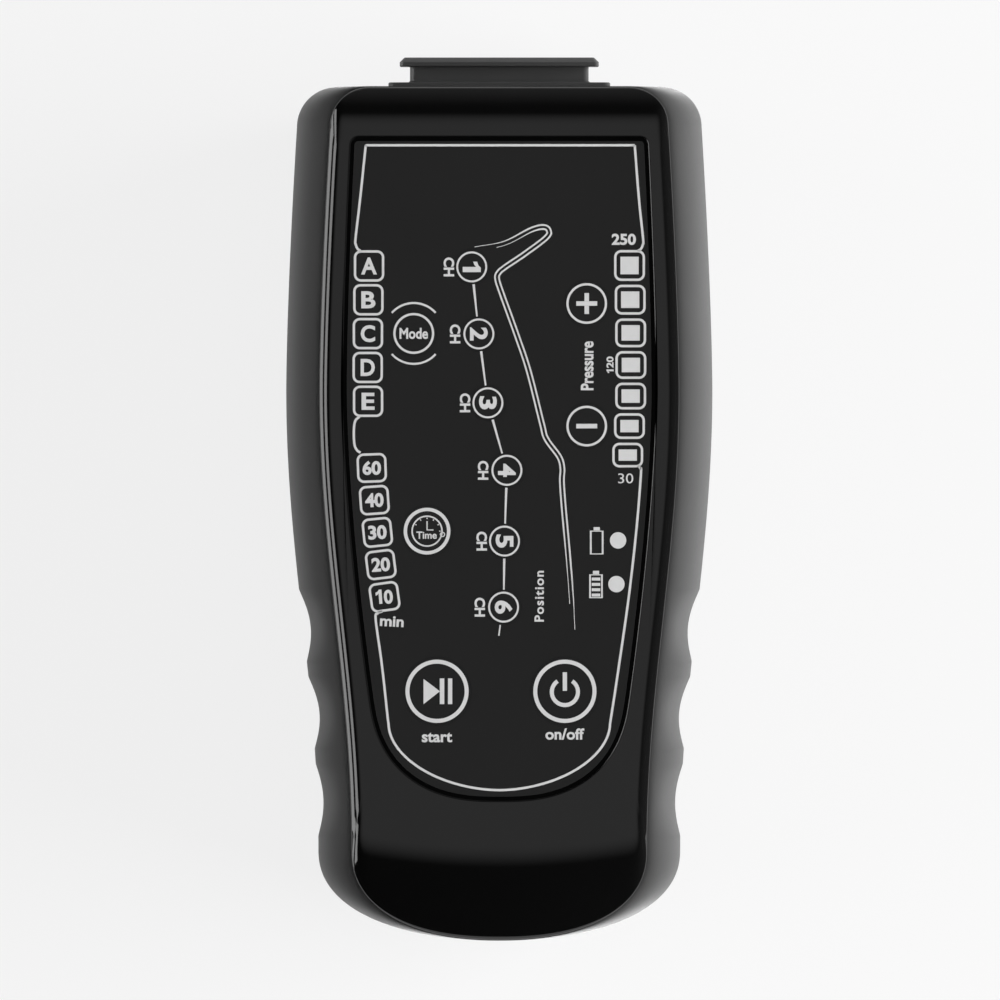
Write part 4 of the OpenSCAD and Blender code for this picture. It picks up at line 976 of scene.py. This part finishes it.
jack_plastic = moulded("jack_plastic", grey(0.01), 0.35, grain_mm=0.4, grain_depth=0.004)
JACK_FACE = BOTTOM + 0.1
SLEEVE_R = 1.09
pin = [(0.3, JACK_FACE + 0.6), (0.85, JACK_FACE + 0.75), (SLEEVE_R, JACK_FACE + 1.2),
       (SLEEVE_R, JACK_FACE + 11)]
jack_pin = piece("jack_pin_sleeve", [turned(pin, (0, 0, JACK_Z), along="y", n=48)])
dress(jack_pin, zinc)

# ---- Pieces inside the casing ----
# The boards, switches, lamps, valves, pump, motor and cells keep their CAD shapes. Each gets the
# finish that the real part has.


def finish_nodes(material, *names):
    """Puts a material on CAD nodes, in their slots."""
    for name in names:
        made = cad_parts[name]
        if not made.material_slots:
            made.data.materials.append(material)
        for material_slot in made.material_slots:
            material_slot.material = material


TRACK_MM = 4
TRACK_WIDTH = 0.08
WIRE_BANDS_MM = 1.2


def solder_mask(name):
    """Circuit board: green lacquer over a faint pattern of copper tracks."""
    finish = Finish(name, {"Specular IOR Level": 0.5})
    tracks = finish.node("ShaderNodeTexVoronoi", {"feature": "DISTANCE_TO_EDGE"},
                         {"Vector": finish.place, "Scale": 1 / (TRACK_MM * MM)}, "Distance")
    line = tracks.math("LESS_THAN", tracks, TRACK_WIDTH)
    finish.vary("Base Color", finish.blend(line, (0.01, 0.11, 0.045, 1), (0.02, 0.19, 0.08, 1)))
    finish.vary("Roughness", line * 0.1 + 0.3)
    return finish.material


def winding(name):
    """Enamelled copper wire, as bands across the coil."""
    finish = Finish(name, {"Metallic": 0.8})
    bands = finish.node("ShaderNodeTexWave", {"bands_direction": "Y"},
                        {"Vector": finish.place, "Scale": 1 / (WIRE_BANDS_MM * MM), "Distortion": 0.4})
    finish.vary("Base Color", finish.blend(bands, (0.2, 0.06, 0.02, 1), (0.5, 0.2, 0.08, 1)))
    finish.vary("Roughness", bands * 0.2 + 0.25)
    return finish.material


plunger_nodes = [f"plunger_{key_name}" for key_name in KEY_NAMES]
armature_nodes = [f"valve_armature_{i}" for i in range(1, 7)]
finish_nodes(solder_mask("board_green"), "keypad_board", "main_board")
finish_nodes(jack_plastic, "switch_housings", "battery_tray", "charging_jack")
finish_nodes(moulded("natural_plastic", (0.66, 0.62, 0.52, 1), 0.45), "valve_manifold", "pump_head",
             "pump_housing", "wobble_plate", "motor_crank", "pressure_sensor", *plunger_nodes)
finish_nodes(moulded("lamp_resin", (0.75, 0.78, 0.8, 1), 0.2), "setting_lamps", "pressure_lamps",
             "battery_lamps")
finish_nodes(zinc, "board_screws", "valve_yokes", "motor_can", *armature_nodes)
finish_nodes(foot_rubber, "port_gasket", "motor_sleeve", "pump_diaphragm")
finish_nodes(moulded("silicone", (0.62, 0.64, 0.62, 1), 0.35), "air_tubes")
finish_nodes(winding("copper_winding"), "valve_coils", "motor_rotor")
finish_nodes(moulded("cell_sleeve", (0.05, 0.16, 0.33, 1), 0.3), "battery_cells")

# ---- Studio ----
# A white sheet under the part, in pale surroundings. Two strips on the left show in the gloss
# alone, and broad lamps on both sides and overhead light the matte surfaces alone.

WHITE = 0.935
FLOOR_SHARE = 0.87
FLOOR_HALF = 12
AMBIENT = 0.12


def sheet(name, half):
    """A flat square sheet under the part."""
    mesh = bpy.data.meshes.new(name)
    mesh.from_pydata([(-half, -half, 0), (half, -half, 0), (half, half, 0), (-half, half, 0)], [],
                     [(0, 1, 2, 3)])
    made = bpy.data.objects.new(name, mesh)
    bpy.context.scene.collection.objects.link(made)
    return made


floor = sheet("floor", FLOOR_HALF)
# to the camera and in the gloss the paper is mostly its own glow, and to other rays it is matte
paper = Finish("paper", {})
paper.tree.nodes.remove(paper.shader)
matte = paper.node("ShaderNodeBsdfDiffuse", inputs={"Color": grey(0.85)})
glow = paper.node("ShaderNodeEmission", inputs={"Color": grey(1.0), "Strength": WHITE})
seen = sum(paper.node("ShaderNodeLightPath", output=f"Is {ray} Ray")
           for ray in ("Camera", "Glossy", "Transmission")) * FLOOR_SHARE
mixed = paper.node("ShaderNodeMixShader", inputs={0: seen, 1: matte, 2: glow})
paper.feed(paper.tree.nodes["Material Output"].inputs["Surface"], mixed)
floor.data.materials.append(paper.material)


class Sky(Finish):
    """The studio's surroundings: pale to the camera, soft on matte surfaces, dark in the gloss but
    for a soft glow overhead and another towards the port's end."""

    def __init__(self, name):
        self.material = bpy.data.worlds.new(name)
        self.material.use_nodes = True
        self.tree = self.material.node_tree
        self.shader = self.tree.nodes["Background"]
        self.shader.inputs["Color"].default_value = grey(1.0)
        self.place = self.node("ShaderNodeTexCoord", output="Generated")


def glow_from(sky, axis, start, span, power):
    """Rises from 0 to 1 as the direction's share along an axis goes from start to start + span."""
    along = sky.node("ShaderNodeSeparateXYZ", inputs={0: sky.place}, output=axis)
    rise = sky.node("ShaderNodeMapRange", inputs={0: along, 1: start, 2: start + span})
    return rise ** power


sky = Sky("studio")
bpy.context.scene.world = sky.material
camera_ray = sky.node("ShaderNodeLightPath", output="Is Camera Ray")
glossy_ray = sky.node("ShaderNodeLightPath", output="Is Glossy Ray")
gloss_glow = glow_from(sky, "Z", 0.9, 0.1, 1.5) * 0.52 + glow_from(sky, "Y", 0.6, 0.4, 2) * 0.25
strength = sky.node("ShaderNodeMix", {"data_type": "FLOAT"}, {0: glossy_ray, 2: AMBIENT, 3: gloss_glow})
strength = sky.node("ShaderNodeMix", {"data_type": "FLOAT"}, {0: camera_ray, 2: strength, 3: WHITE})
sky.feed(sky.shader.inputs["Strength"], strength)


def soft_box(name, azimuth, elevation, distance, width, height, radiance, gloss, matte_light):
    """An area lamp that faces the part. Its power is radiance times pi times its area."""
    data = bpy.data.lights.new(name, "AREA")
    data.shape = "RECTANGLE"
    data.size, data.size_y = width, height
    data.energy = radiance * math.pi * width * height
    lamp = bpy.data.objects.new(name, data)
    a, e = math.radians(azimuth), math.radians(elevation)
    where = np.array([math.cos(a) * math.cos(e), math.sin(a) * math.cos(e), math.sin(e)])
    lamp.location = where * distance
    lamp.rotation_euler = (math.pi / 2 - e, 0, a + math.pi / 2)
    lamp.visible_glossy = gloss
    lamp.visible_diffuse = matte_light
    bpy.context.scene.collection.objects.link(lamp)


LAMP_DISTANCE = 1.6


def strip_height(low, high):
    """Height of a strip that reaches from one elevation to another, seen from the part."""
    return 2 * LAMP_DISTANCE * math.tan(math.radians((high - low) / 2))


# name, azimuth, elevation, distance, width, height, radiance, and whether it shows in the gloss and
# lights matte surfaces
for lamp_settings in (
    ("left_low_strip", 180, 13, LAMP_DISTANCE, 1.9, strip_height(4, 22), 5.0, True, False),
    ("left_high_strip", 180, 42, LAMP_DISTANCE, 1.9, strip_height(33, 51), 5.0, True, False),
    ("left_lamp", 180, 9, LAMP_DISTANCE, 1.6, 0.4, 18.0, False, True),
    ("right_lamp", 0, 9, LAMP_DISTANCE, 1.6, 0.4, 76.0, False, True),
    ("overhead_lamp", 0, 90, 2.4, 2.6, 2.6, 0.25, False, True),
):
    soft_box(*lamp_settings)

# far away and level over the middle, as the photograph shows no perspective
VIEW_WIDTH = 210.9 * MM
VIEW_X, VIEW_Y, VIEW_Z = 0.15 * MM, -0.25 * MM, 0.03
DISTANCE = 8.0
SENSOR = 36.0
camera_data = bpy.data.cameras.new("camera")
camera_data.sensor_width = SENSOR
camera_data.lens = SENSOR * DISTANCE / VIEW_WIDTH
camera_data.clip_start, camera_data.clip_end = 1.0, 40.0
camera = bpy.data.objects.new("camera", camera_data)
camera.location = (VIEW_X, VIEW_Y, VIEW_Z + DISTANCE)
bpy.context.scene.collection.objects.link(camera)
bpy.context.scene.camera = camera
bpy.context.scene.view_settings.view_transform = "Standard"
